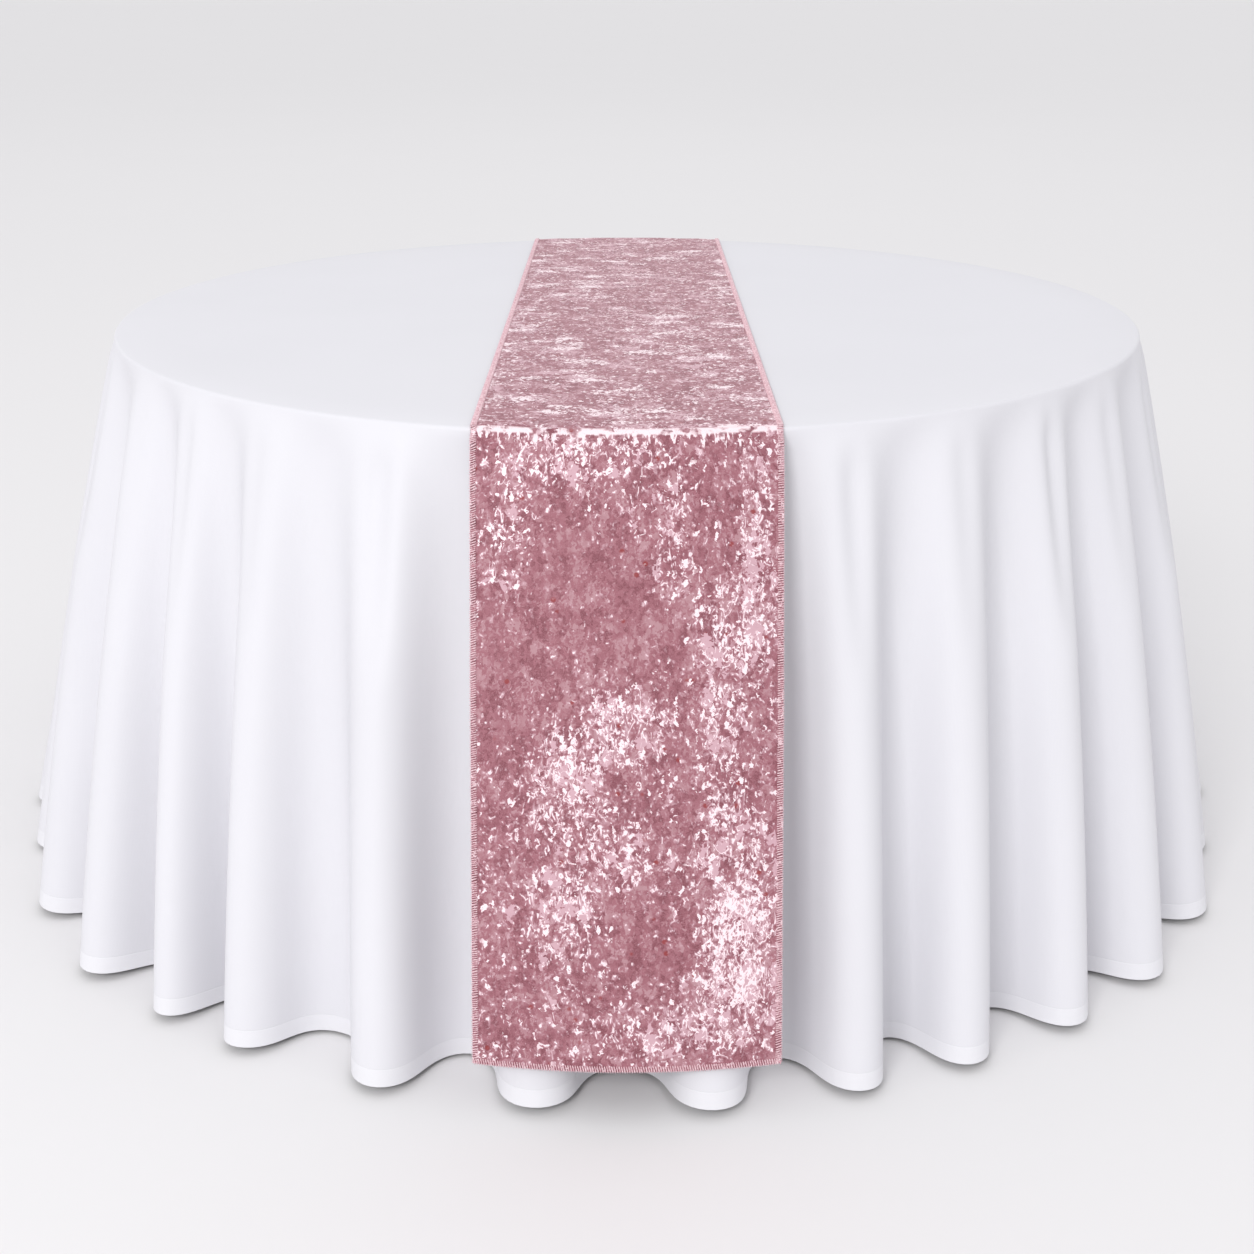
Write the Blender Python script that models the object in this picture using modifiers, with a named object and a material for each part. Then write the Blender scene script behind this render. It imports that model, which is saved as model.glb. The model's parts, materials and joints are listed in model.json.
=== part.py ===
"""A round folding banquet table, dressed with a floor-length round cloth and a runner.

Metres, +Z up. The origin is on the floor under the middle of the table, the runner lies along Y,
and the leg frames stand at -X (left) and +X (right) and fold inwards about axes along Y.
"""

import math

import bmesh
import bpy
from mathutils import Matrix, Vector

# Table top
TABLE_RADIUS = 0.762
TABLE_HEIGHT = 0.755
PANEL_THICKNESS = 0.019
BAND_THICKNESS = 0.003
BAND_CHAMFER = 0.0015
ROUND_STEPS = 96

# Clearances
TOUCH_GAP = 0.0003
RUNNING_GAP = 0.0005

# Under the top
BATTEN_Y = 0.20
BATTEN_SIZE = (1.10, 0.045, 0.020)
SPACER_SIZE = (0.080, 0.045, 0.033)
WOOD_BEVEL = 0.001
SADDLE_WIDTH = 0.025
SADDLE_STRAP = 0.002
SADDLE_FOOT = 0.034

# Leg frames: the left one pivots one tube higher than the right one, and is wider
PIVOT_X = 0.42
LEG_LEAN = math.radians(2.0)
TUBE_RADIUS = 0.0143
TUBE_WALL = 0.0012
BOW_CORNER = 0.055
BOW_HALF_WIDTH = {"left": 0.31, "right": 0.27}
STRETCHER_RADIUS = 0.0125
STRETCHER_DOWN = 0.235
GLIDE_RADIUS = 0.0178
GLIDE_COLLAR = 0.022
GLIDE_BASE = 0.005

# Braces, in each leg frame's own plane across the pivot axis
BRACE_Y = {"left": 0.05, "right": -0.05}
LUG_DOWN = 0.200
ANCHOR_IN = 0.280
ANCHOR_UP = 0.0166
ANCHOR_LENGTH = 0.030
LUG_COLLAR = 0.004
UPPER_SHARE = 0.61
BRACE_SLACK = 1.0005
LINK_THICKNESS = 0.003
LINK_HALF_WIDTH = 0.008
LINK_INNER_Y = 0.0005
PLATE_INNER_Y = 0.0045
PIN_RADIUS = 0.003
PIN_HEAD_RADIUS = 0.0055
PIN_HEAD = 0.002

# Tablecloth: a round of cloth whose spare fullness hangs in even folds
CLOTH_CUT_RADIUS = 1.524
CLOTH_THICKNESS = 0.0010
CLOTH_EDGE_RADIUS = 0.7645
CLOTH_BEND = 0.0035
FOLDS = 32
COLUMNS_PER_FOLD = 6
HEM_MEAN_RADIUS = 0.918
DROP_ROWS = (0.0, 0.05, 0.16, 0.34, 0.56, 0.78, 1.0)

# Runner
RUNNER_WIDTH = 0.3556
RUNNER_LENGTH = 3.00
RUNNER_THICKNESS = 0.0015
RUNNER_COLUMNS = 8
RUNNER_ROWS = (0.015, 0.06, 0.14, 0.28, 0.46, 0.64, 0.82, 1.0)
RUNNER_STAND_OFF = 0.0020
RUNNER_CALMS_OVER = 0.30
RUNNER_FLATTENS = 0.35
OVERLOCK_RADIUS = 0.0016

SIDES = {"left": -1, "right": 1}
ENDS = {"front": -1, "back": 1}

CLOTH_TOP = TABLE_HEIGHT + TOUCH_GAP + CLOTH_THICKNESS
CLOTH_EDGE_Z = CLOTH_TOP - CLOTH_BEND
CLOTH_DROP = CLOTH_CUT_RADIUS - (CLOTH_EDGE_RADIUS - CLOTH_BEND) - CLOTH_BEND * math.pi / 2
PANEL_BOTTOM = TABLE_HEIGHT - PANEL_THICKNESS
BATTEN_BOTTOM = PANEL_BOTTOM - TOUCH_GAP - BATTEN_SIZE[2]
PIVOT_FACE = {"left": BATTEN_BOTTOM, "right": BATTEN_BOTTOM - TOUCH_GAP - SPACER_SIZE[2]}
PIVOT_Z = {side: face - TOUCH_GAP - TUBE_RADIUS for side, face in PIVOT_FACE.items()}


# ---------------------------------------------------------------- scene and materials


def clear_scene():
    for obj in list(bpy.data.objects):
        bpy.data.objects.remove(obj)


def new_collection(name):
    collection = bpy.data.collections.new(name)
    bpy.context.scene.collection.children.link(collection)
    return collection


def new_material(name, color, roughness, metallic=0.0):
    material = bpy.data.materials.new(name)
    material.use_nodes = True
    shader = material.node_tree.nodes["Principled BSDF"]
    shader.inputs["Base Color"].default_value = (*color, 1.0)
    shader.inputs["Roughness"].default_value = roughness
    shader.inputs["Metallic"].default_value = metallic
    material.diffuse_color = (*color, 1.0)
    return material


clear_scene()
PARTS = new_collection("dressed_round_table")
CUTTERS = new_collection("cutters")
PLYWOOD = new_material("plywood", (0.55, 0.40, 0.25), 0.55)
EDGE_VINYL = new_material("edge_vinyl", (0.20, 0.13, 0.09), 0.45)
BATTEN_WOOD = new_material("batten_wood", (0.60, 0.47, 0.31), 0.65)
PAINTED_STEEL = new_material("painted_steel", (0.16, 0.16, 0.17), 0.40, 0.6)
ZINC_STEEL = new_material("zinc_steel", (0.62, 0.63, 0.65), 0.35, 1.0)
GLIDE_PLASTIC = new_material("glide_plastic", (0.05, 0.05, 0.05), 0.6)
WHITE_CLOTH = new_material("white_cloth", (0.86, 0.86, 0.89), 0.6)
ROSE_VELVET = new_material("rose_velvet", (0.44, 0.17, 0.23), 0.5)
PINK_THREAD = new_material("pink_thread", (0.62, 0.30, 0.37), 0.6)


# ---------------------------------------------------------------- shape helpers


def add_object(name, mesh, material, placement=None):
    """Puts a mesh in the scene as a named part. Its origin is the placement's."""
    mesh.name = name
    obj = bpy.data.objects.new(name, mesh)
    obj.matrix_world = placement or Matrix.Identity(4)
    PARTS.objects.link(obj)
    mesh.materials.append(material)
    return obj


def shade_round(obj):
    obj.data.shade_smooth()
    obj.data.set_sharp_from_angle(angle=math.radians(35))


def box(name, size, center, material):
    bm = bmesh.new()
    bmesh.ops.create_cube(bm, size=1.0, matrix=Matrix.Diagonal((*size, 1.0)))
    bmesh.ops.bevel(
        bm, geom=bm.edges[:], offset=WOOD_BEVEL, segments=1, affect="EDGES", profile=0.5, material=-1
    )
    mesh = bpy.data.meshes.new(name)
    bm.to_mesh(mesh)
    bm.free()
    return add_object(name, mesh, material, Matrix.Translation(center))


def turned_mesh(profile, steps):
    """Spins a closed outline of (radius, height) points about Z."""
    bm = bmesh.new()
    verts = [bm.verts.new((radius, 0.0, height)) for radius, height in profile]
    edges = [bm.edges.new((verts[i - 1], verts[i])) for i in range(len(verts))]
    on_axis = [e for e in edges if all(abs(v.co.x) < 1e-9 for v in e.verts)]
    bmesh.ops.delete(bm, geom=on_axis, context="EDGES_FACES")
    bmesh.ops.spin(
        bm,
        geom=bm.verts[:] + bm.edges[:],
        cent=(0, 0, 0),
        axis=(0, 0, 1),
        angle=2 * math.pi,
        steps=steps,
        use_merge=True,
    )
    bmesh.ops.remove_doubles(bm, verts=bm.verts[:], dist=1e-6)
    bmesh.ops.recalc_face_normals(bm, faces=bm.faces[:])
    mesh = bpy.data.meshes.new("turned")
    bm.to_mesh(mesh)
    bm.free()
    return mesh


def turned(name, profile, material, placement=None, steps=24):
    obj = add_object(name, turned_mesh(profile, steps), material, placement)
    shade_round(obj)
    return obj


def mesh_of_curve(curve):
    """The closed mesh of a curve object, with its loose caps welded on. The curve is removed."""
    bpy.context.scene.collection.objects.link(curve)
    graph = bpy.context.evaluated_depsgraph_get()
    mesh = bpy.data.meshes.new_from_object(curve.evaluated_get(graph))
    bm = bmesh.new()
    bm.from_mesh(mesh)
    bmesh.ops.remove_doubles(bm, verts=bm.verts[:], dist=1e-6)
    bmesh.ops.recalc_face_normals(bm, faces=bm.faces[:])
    bm.to_mesh(mesh)
    bm.free()
    bpy.data.objects.remove(curve)
    mesh.materials.clear()
    return mesh


def tube_mesh(points, radius, closed=False, resolution=4):
    data = bpy.data.curves.new("tube", "CURVE")
    data.dimensions = "3D"
    data.bevel_depth = radius
    data.bevel_resolution = resolution
    data.use_fill_caps = not closed
    data.twist_mode = "MINIMUM"
    spline = data.splines.new("POLY")
    spline.points.add(len(points) - 1)
    spline.use_cyclic_u = closed
    for spot, point in zip(spline.points, points):
        spot.co = (*point, 1.0)
    return mesh_of_curve(bpy.data.objects.new("tube", data))


def flat_mesh(outlines, thickness):
    """A flat outline and its holes, in the local XY plane, extruded either way along local Z."""
    data = bpy.data.curves.new("flat", "CURVE")
    data.dimensions = "2D"
    data.fill_mode = "BOTH"
    data.extrude = thickness / 2
    for outline in outlines:
        spline = data.splines.new("POLY")
        spline.points.add(len(outline) - 1)
        spline.use_cyclic_u = True
        for spot, (x, y) in zip(spline.points, outline):
            spot.co = (x, y, 0.0, 1.0)
    return mesh_of_curve(bpy.data.objects.new("flat", data))


def arc(center, radius, start, stop, steps):
    """Points along an arc, angles in radians, both ends included."""
    angles = [start + (stop - start) * i / steps for i in range(steps + 1)]
    return [(center[0] + radius * math.cos(a), center[1] + radius * math.sin(a)) for a in angles]


def circle(center, radius, steps=16):
    return arc(center, radius, 0.0, 2 * math.pi * (steps - 1) / steps, steps - 1)


def strap_outline(first, first_radius, second, second_radius):
    """The outline of a flat strap that wraps two round ends."""
    along = Vector(second) - Vector(first)
    heading = math.atan2(along.y, along.x)
    open_angle = math.acos((first_radius - second_radius) / along.length)
    start = arc(first, first_radius, heading + open_angle, heading + 2 * math.pi - open_angle, 10)
    stop = arc(second, second_radius, heading - open_angle, heading + open_angle, 8)
    return start + stop


def across(origin_x, y, origin_z):
    """Places a flat outline's X and Y along world X and Z, with its thickness along Y."""
    return Matrix.Translation((origin_x, y, origin_z)) @ Matrix.Rotation(math.pi / 2, 4, "X")


def along_y(x, y, z):
    """Places a turned shape's own Z along world +Y."""
    return Matrix.Translation((x, y, z)) @ Matrix.Rotation(-math.pi / 2, 4, "X")


def cut(obj, mesh, placement):
    """Cuts a mesh out of a part with a hidden Boolean cutter."""
    cutter = bpy.data.objects.new(obj.name + "_cutter", mesh)
    cutter.matrix_world = placement
    cutter.hide_render = True
    cutter.display_type = "WIRE"
    CUTTERS.objects.link(cutter)
    boolean = obj.modifiers.new("cut", "BOOLEAN")
    boolean.operation = "DIFFERENCE"
    boolean.object = cutter
    return cutter


# ---------------------------------------------------------------- table top


def make_top():
    bm = bmesh.new()
    bmesh.ops.create_cone(
        bm,
        cap_ends=True,
        segments=ROUND_STEPS,
        radius1=TABLE_RADIUS - BAND_THICKNESS - TOUCH_GAP,
        radius2=TABLE_RADIUS - BAND_THICKNESS - TOUCH_GAP,
        depth=PANEL_THICKNESS,
    )
    mesh = bpy.data.meshes.new("table_top_panel")
    bm.to_mesh(mesh)
    bm.free()
    middle = Matrix.Translation((0, 0, TABLE_HEIGHT - PANEL_THICKNESS / 2))
    shade_round(add_object("table_top_panel", mesh, PLYWOOD, middle))
    inner, outer = TABLE_RADIUS - BAND_THICKNESS, TABLE_RADIUS
    band = [
        (inner, TABLE_HEIGHT),
        (outer - BAND_CHAMFER, TABLE_HEIGHT),
        (outer, TABLE_HEIGHT - BAND_CHAMFER),
        (outer, PANEL_BOTTOM + BAND_CHAMFER),
        (outer - BAND_CHAMFER, PANEL_BOTTOM),
        (inner, PANEL_BOTTOM),
    ]
    turned("table_edge_band", band, EDGE_VINYL, steps=ROUND_STEPS)


def make_battens():
    for end, way in ENDS.items():
        y = way * BATTEN_Y
        box(f"batten_{end}", BATTEN_SIZE, (0, y, BATTEN_BOTTOM + BATTEN_SIZE[2] / 2), BATTEN_WOOD)
        spacer_z = PIVOT_FACE["right"] + SPACER_SIZE[2] / 2
        box(f"spacer_{end}", SPACER_SIZE, (PIVOT_X, y, spacer_z), BATTEN_WOOD)


def make_saddle(name, x, y, side):
    """A steel strap that holds a leg frame's pivot tube up against its mounting face."""
    inner = TUBE_RADIUS + RUNNING_GAP
    outer = inner + SADDLE_STRAP
    top = PIVOT_FACE[side] - TOUCH_GAP - PIVOT_Z[side]
    outline = (
        [(-SADDLE_FOOT, top)]
        + [(-inner, top)]
        + arc((0, 0), inner, math.pi, 2 * math.pi, 12)
        + [(inner, top), (SADDLE_FOOT, top), (SADDLE_FOOT, top - SADDLE_STRAP)]
        + [(outer, top - SADDLE_STRAP)]
        + arc((0, 0), outer, 2 * math.pi, math.pi, 12)
        + [(-outer, top - SADDLE_STRAP), (-SADDLE_FOOT, top - SADDLE_STRAP)]
    )
    mesh = flat_mesh([outline], SADDLE_WIDTH)
    shade_round(add_object(name, mesh, ZINC_STEEL, across(x, y, PIVOT_Z[side])))


# ---------------------------------------------------------------- braces


def brace_points():
    """The lug, anchor and knee in a leg frame's own plane: X inwards from the pivot axis, Y up."""
    lug = Vector((-math.sin(LEG_LEAN), -math.cos(LEG_LEAN))) * LUG_DOWN
    anchor = Vector((ANCHOR_IN, ANCHOR_UP))
    span = (lug - anchor).length
    total = span * BRACE_SLACK
    upper = total * UPPER_SHARE
    lower = total - upper
    toward = (lug - anchor) / span
    reach = (upper**2 + span**2 - lower**2) / (2 * span)
    aside = math.sqrt(max(upper**2 - reach**2, 0.0))
    knee = anchor + toward * reach - Vector((-toward.y, toward.x)) * aside
    return lug, anchor, knee


def rivet_profile(shank, head_at_start=True, head_at_end=True):
    """A pin of the shank's length from height 0 up, with a thin round head outside either end."""
    profile = [(0.0, 0.0), (PIN_RADIUS, 0.0), (PIN_RADIUS, shank), (0.0, shank)]
    if head_at_start:
        head = [(0.0, -PIN_HEAD), (PIN_HEAD_RADIUS, -PIN_HEAD), (PIN_HEAD_RADIUS, 0.0)]
        profile = head + profile[1:]
    if head_at_end:
        head = [(PIN_HEAD_RADIUS, shank), (PIN_HEAD_RADIUS, shank + PIN_HEAD), (0.0, shank + PIN_HEAD)]
        profile = profile[:-1] + head
    return profile


def make_link(name, pivot, other, low_y, side):
    """A flat brace link between two pin holes. Its origin is on the pivot that it turns on."""
    way = SIDES[side]
    far = Vector((-way * (other.x - pivot.x), other.y - pivot.y))
    outlines = [
        strap_outline((0, 0), LINK_HALF_WIDTH, far, LINK_HALF_WIDTH),
        circle((0, 0), PIN_RADIUS + TOUCH_GAP),
        circle(far, PIN_RADIUS + TOUCH_GAP),
    ]
    x = way * (PIVOT_X - pivot.x)
    place = across(x, BRACE_Y[side] + low_y + LINK_THICKNESS / 2, PIVOT_Z[side] + pivot.y)
    shade_round(add_object(name, flat_mesh(outlines, LINK_THICKNESS), ZINC_STEEL, place))


def make_anchor(side, anchor):
    """A folded channel under the top whose two ears hold the upper link's pin."""
    way = SIDES[side]
    x = way * (PIVOT_X - anchor.x)
    pin_z = PIVOT_Z[side] + anchor.y
    half = PLATE_INNER_Y + LINK_THICKNESS
    top = PANEL_BOTTOM - TOUCH_GAP - pin_z
    ear_bottom = -LINK_HALF_WIDTH
    channel = [
        (-half, top),
        (-half, ear_bottom),
        (-PLATE_INNER_Y, ear_bottom),
        (-PLATE_INNER_Y, top - LINK_THICKNESS),
        (PLATE_INNER_Y, top - LINK_THICKNESS),
        (PLATE_INNER_Y, ear_bottom),
        (half, ear_bottom),
        (half, top),
    ]
    turn = Matrix.Rotation(math.pi / 2, 4, "Z") @ Matrix.Rotation(math.pi / 2, 4, "X")
    place = Matrix.Translation((x, BRACE_Y[side], pin_z)) @ turn
    obj = add_object(f"{side}_brace_anchor", flat_mesh([channel], ANCHOR_LENGTH), ZINC_STEEL, place)
    hole = PIN_RADIUS + TOUCH_GAP
    bore = turned_mesh([(0.0, -half * 2), (hole, -half * 2), (hole, half * 2), (0.0, half * 2)], 16)
    cut(obj, bore, along_y(x, BRACE_Y[side], pin_z))
    shank = 2 * (half + TOUCH_GAP)
    turned(
        f"{side}_anchor_pin",
        rivet_profile(shank),
        ZINC_STEEL,
        along_y(x, BRACE_Y[side] - shank / 2, pin_z),
        steps=16,
    )


def make_brace(side):
    way = SIDES[side]
    lug, anchor, knee = brace_points()
    make_anchor(side, anchor)
    make_link(f"{side}_upper_link", anchor, knee, LINK_INNER_Y, side)
    make_link(f"{side}_lower_link", lug, knee, -LINK_INNER_Y - LINK_THICKNESS, side)
    knee_x, knee_z = way * (PIVOT_X - knee.x), PIVOT_Z[side] + knee.y
    shank = LINK_THICKNESS + TOUCH_GAP
    turned(
        f"{side}_knee_rivet",
        rivet_profile(shank, head_at_start=False),
        ZINC_STEEL,
        along_y(knee_x, BRACE_Y[side] + LINK_INNER_Y, knee_z),
        steps=16,
    )


# ---------------------------------------------------------------- leg frames


class LegPlane:
    """The leaning plane of one leg frame: a distance down it and a place along Y give a point."""

    def __init__(self, side):
        self.way = SIDES[side]
        self.pivot = Vector((self.way * PIVOT_X, 0.0, PIVOT_Z[side]))
        self.down = Vector((self.way * math.sin(LEG_LEAN), 0.0, -math.cos(LEG_LEAN)))
        self.floor = PIVOT_Z[side] / math.cos(LEG_LEAN)

    def point(self, y, distance):
        return self.pivot + self.down * distance + Vector((0.0, y, 0.0))

    def upright(self, y, distance):
        """Places a turned shape with its own Z up along the leg."""
        turn = Matrix.Rotation(-self.way * LEG_LEAN, 4, "Y")
        return Matrix.Translation(self.point(y, distance)) @ turn


def bow_path(plane, half_width, ends_at):
    """Down one leg, round two corners and along the pivot run, for a bent tube."""
    corner = arc((half_width - BOW_CORNER, BOW_CORNER), BOW_CORNER, 0.0, -math.pi / 2, 6)
    half = [(half_width, ends_at)] + corner
    flat = half + [(-y, distance) for y, distance in reversed(half)]
    return [plane.point(y, distance) for y, distance in flat]


def make_bow(side, plane):
    half_width = BOW_HALF_WIDTH[side]
    ends_at = plane.floor - GLIDE_BASE - TOUCH_GAP
    mesh = tube_mesh(bow_path(plane, half_width, ends_at), TUBE_RADIUS)
    mesh.transform(Matrix.Translation(-plane.pivot))
    obj = add_object(f"{side}_leg_bow", mesh, PAINTED_STEEL, Matrix.Translation(plane.pivot))
    bore = tube_mesh(bow_path(plane, half_width, ends_at + GLIDE_BASE), TUBE_RADIUS - TUBE_WALL)
    cut(obj, bore, Matrix.Identity(4))
    shade_round(obj)


def make_stretcher(side, plane):
    half = BOW_HALF_WIDTH[side] - TUBE_RADIUS - TOUCH_GAP
    inner = STRETCHER_RADIUS - TUBE_WALL
    ring = [(inner, -half), (STRETCHER_RADIUS, -half), (STRETCHER_RADIUS, half), (inner, half)]
    center = plane.point(0.0, STRETCHER_DOWN)
    turned(f"{side}_stretcher", ring, PAINTED_STEEL, along_y(*center), steps=20)


def make_lug(side, plane):
    """A plate welded round the stretcher, with an eye for the lower link's pin."""
    lug, _, _ = brace_points()
    eye = Vector((plane.way * (PIVOT_X - lug.x), PIVOT_Z[side] + lug.y))
    ring = plane.point(0.0, STRETCHER_DOWN)
    offset = (ring.x - eye.x, ring.z - eye.y)
    outlines = [
        strap_outline(offset, STRETCHER_RADIUS + LUG_COLLAR, (0, 0), LINK_HALF_WIDTH),
        circle(offset, STRETCHER_RADIUS + TOUCH_GAP, 20),
        circle((0, 0), PIN_RADIUS + TOUCH_GAP),
    ]
    middle_y = BRACE_Y[side] - PLATE_INNER_Y - LINK_THICKNESS / 2
    place = across(eye.x, middle_y, eye.y)
    obj = add_object(f"{side}_brace_lug", flat_mesh(outlines, LINK_THICKNESS), PAINTED_STEEL, place)
    shade_round(obj)
    low = -PLATE_INNER_Y - LINK_THICKNESS - TOUCH_GAP
    shank = -LINK_INNER_Y - low
    turned(
        f"{side}_lug_pin",
        rivet_profile(shank, head_at_end=False),
        ZINC_STEEL,
        along_y(eye.x, BRACE_Y[side] + low, eye.y),
        steps=16,
    )


def make_glide(name, plane, y):
    """A plastic cup on the end of a leg tube, cut flat where it meets the floor."""
    inner = TUBE_RADIUS + TOUCH_GAP
    below = -GLIDE_RADIUS * math.tan(LEG_LEAN) * 2
    cup = [
        (0.0, below),
        (GLIDE_RADIUS, below),
        (GLIDE_RADIUS, GLIDE_COLLAR),
        (inner, GLIDE_COLLAR),
        (inner, GLIDE_BASE),
        (0.0, GLIDE_BASE),
    ]
    obj = turned(name, cup, GLIDE_PLASTIC, plane.upright(y, plane.floor))
    bm = bmesh.new()
    bm.from_mesh(obj.data)
    to_local = obj.matrix_world.inverted()
    cut_edges = bmesh.ops.bisect_plane(
        bm,
        geom=bm.verts[:] + bm.edges[:] + bm.faces[:],
        dist=1e-7,
        plane_co=to_local @ Vector((plane.pivot.x, 0.0, 0.0)),
        plane_no=to_local.to_3x3() @ Vector((0.0, 0.0, 1.0)),
        clear_inner=True,
    )
    rim = [e for e in cut_edges["geom_cut"] if isinstance(e, bmesh.types.BMEdge)]
    bmesh.ops.contextual_create(bm, geom=rim)
    bmesh.ops.recalc_face_normals(bm, faces=bm.faces[:])
    bm.to_mesh(obj.data)
    bm.free()
    shade_round(obj)


def make_leg_frame(side):
    plane = LegPlane(side)
    make_bow(side, plane)
    make_stretcher(side, plane)
    make_lug(side, plane)
    for end, way in ENDS.items():
        make_glide(f"{side}_glide_{end}", plane, way * BOW_HALF_WIDTH[side])
        make_saddle(f"{side}_saddle_{end}", plane.pivot.x, way * BATTEN_Y, side)


# ---------------------------------------------------------------- tablecloth


def mean_cosine(swing):
    """How far a wavy line gets along, per length of line, when its heading swings this far."""
    steps = 24
    headings = [swing * math.sin(2 * math.pi * (i + 0.5) / steps) for i in range(steps)]
    return sum(math.cos(h) for h in headings) / steps


def swing_for(fullness):
    """The heading swing whose wavy line is this many times longer than it gets along."""
    low, high = 0.0, 1.5
    for _ in range(40):
        middle = (low + high) / 2
        if 1.0 / mean_cosine(middle) < fullness:
            low = middle
        else:
            high = middle
    return low


def mean_radius(drop):
    return CLOTH_EDGE_RADIUS + (HEM_MEAN_RADIUS - CLOTH_EDGE_RADIUS) * drop / CLOTH_DROP


def fold_wave(drop):
    """One fold at this drop, as (share of a fold along the circle, radius) for each column.

    The cloth keeps its cut length round the table, so its line swings in and out about the mean
    circle. The first column is at the trough.
    """
    fullness = max((CLOTH_EDGE_RADIUS + drop) / mean_radius(drop), 1.0)
    swing = swing_for(fullness)
    line = 2 * math.pi * (CLOTH_EDGE_RADIUS + drop) / FOLDS
    fine = 8
    steps = COLUMNS_PER_FOLD * fine
    along, out, wave = 0.0, 0.0, []
    for i in range(steps + 1):
        if i % fine == 0:
            wave.append((along, out))
        heading = swing * math.sin(2 * math.pi * (i + 0.5) / steps)
        along += math.cos(heading) * line / steps
        out += math.sin(heading) * line / steps
    half_depth = max(out for _, out in wave) / 2
    shrink = 1.0
    if half_depth > 0:
        shrink = min(1.0, (mean_radius(drop) - CLOTH_EDGE_RADIUS) / half_depth)
    length = wave[-1][0]
    radii = [mean_radius(drop) + (out - half_depth) * shrink for _, out in wave]
    return [(wave[i][0] / length, radii[i]) for i in range(COLUMNS_PER_FOLD)]


def hanging_height(drop, radius):
    """The cloth keeps its length down from the edge, so a line that swings out ends higher."""
    return CLOTH_EDGE_Z - math.sqrt(max(drop**2 - (radius - CLOTH_EDGE_RADIUS) ** 2, 0.0))


def cloth_ring(drop):
    wave = fold_wave(drop)
    ring = []
    for fold in range(FOLDS):
        for share, radius in wave:
            angle = 2 * math.pi * (fold + share) / FOLDS - math.pi / 2
            spot = (radius * math.cos(angle), radius * math.sin(angle))
            ring.append((*spot, hanging_height(drop, radius)))
    return ring


def plain_ring(radius, height):
    angles = [math.atan2(y, x) for x, y, _ in cloth_ring(0.0)]
    return [(radius * math.cos(a), radius * math.sin(a), height) for a in angles]


def make_tablecloth():
    edge_arc = CLOTH_BEND * (1 - math.cos(math.pi / 4))
    rings = [
        plain_ring(CLOTH_EDGE_RADIUS - CLOTH_BEND, CLOTH_TOP),
        plain_ring(CLOTH_EDGE_RADIUS - edge_arc, CLOTH_TOP - edge_arc),
    ]
    rings += [cloth_ring(share * CLOTH_DROP) for share in DROP_ROWS]
    bm = bmesh.new()
    loops = [[bm.verts.new(point) for point in ring] for ring in rings]
    bm.faces.new(loops[0])
    for upper, lower in zip(loops, loops[1:]):
        for i in range(len(upper)):
            bm.faces.new((upper[i - 1], lower[i - 1], lower[i], upper[i]))
    mesh = bpy.data.meshes.new("tablecloth")
    bm.to_mesh(mesh)
    bm.free()
    obj = add_object("tablecloth", mesh, WHITE_CLOTH)
    shell = obj.modifiers.new("thickness", "SOLIDIFY")
    shell.thickness = CLOTH_THICKNESS
    shell.offset = -1.0
    shell.use_even_offset = True
    shade_round(obj)


# ---------------------------------------------------------------- runner


def crest(drop):
    """Radius and height of the outermost line of a fold."""
    radius = max(radius for _, radius in fold_wave(drop))
    return radius, hanging_height(drop, radius)


def runner_path(x, lift):
    """Points (y, z) of the runner from its front end to its back end, at one place across it.

    It lies on the cloth's top and turns down over the round edge. It then hangs on the crests of the
    folds, and most of the edge's curve stays in it all the way down.
    """
    flat_to = math.sqrt(CLOTH_EDGE_RADIUS**2 - x**2)
    hang = RUNNER_LENGTH / 2 - CLOTH_EDGE_RADIUS
    top = CLOTH_TOP + TOUCH_GAP + lift
    half = []
    for share in reversed(RUNNER_ROWS):
        drop = share * hang
        radius, height = crest(drop)
        flatter = min(drop / RUNNER_CALMS_OVER, 1.0) * RUNNER_FLATTENS
        out = radius - CLOTH_EDGE_RADIUS + RUNNER_STAND_OFF + lift
        half.append((flat_to + out + flatter * (CLOTH_EDGE_RADIUS - flat_to), height))
    for angle in (math.pi / 8, math.pi / 4, 3 * math.pi / 8):
        reach = CLOTH_BEND + RUNNER_STAND_OFF + lift
        y = flat_to - CLOTH_BEND + reach * math.cos(angle)
        half.append((y, top - CLOTH_BEND + CLOTH_BEND * math.sin(angle)))
    half.append((flat_to - CLOTH_BEND, top))
    front = [(-y, z) for y, z in half]
    return front + list(reversed(half))


def make_runner_panel():
    bm = bmesh.new()
    columns = []
    for i in range(RUNNER_COLUMNS + 1):
        x = RUNNER_WIDTH * (i / RUNNER_COLUMNS - 0.5)
        path = runner_path(x, 0.0)
        columns.append([bm.verts.new((x, y, z)) for y, z in path])
    for left, right in zip(columns, columns[1:]):
        for i in range(1, len(left)):
            bm.faces.new((left[i - 1], right[i - 1], right[i], left[i]))
    mesh = bpy.data.meshes.new("runner_panel")
    bm.to_mesh(mesh)
    bm.free()
    obj = add_object("runner_panel", mesh, ROSE_VELVET)
    shell = obj.modifiers.new("thickness", "SOLIDIFY")
    shell.thickness = RUNNER_THICKNESS
    shell.offset = 1.0
    shell.use_even_offset = True
    shade_round(obj)


def end_run(way):
    """Points just below the runner's end, from +X to -X, at the front or at the back."""
    beyond = OVERLOCK_RADIUS + TOUCH_GAP
    half_width = (RUNNER_WIDTH + beyond) / 2
    points = []
    for i in range(RUNNER_COLUMNS + 1):
        x = half_width * (1 - 2 * i / RUNNER_COLUMNS)
        end, before = (Vector(p) for p in runner_path(x, RUNNER_THICKNESS / 2)[:2])
        y, z = end + (end - before).normalized() * beyond
        points.append(Vector((x, -way * y, z)))
    return points


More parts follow.
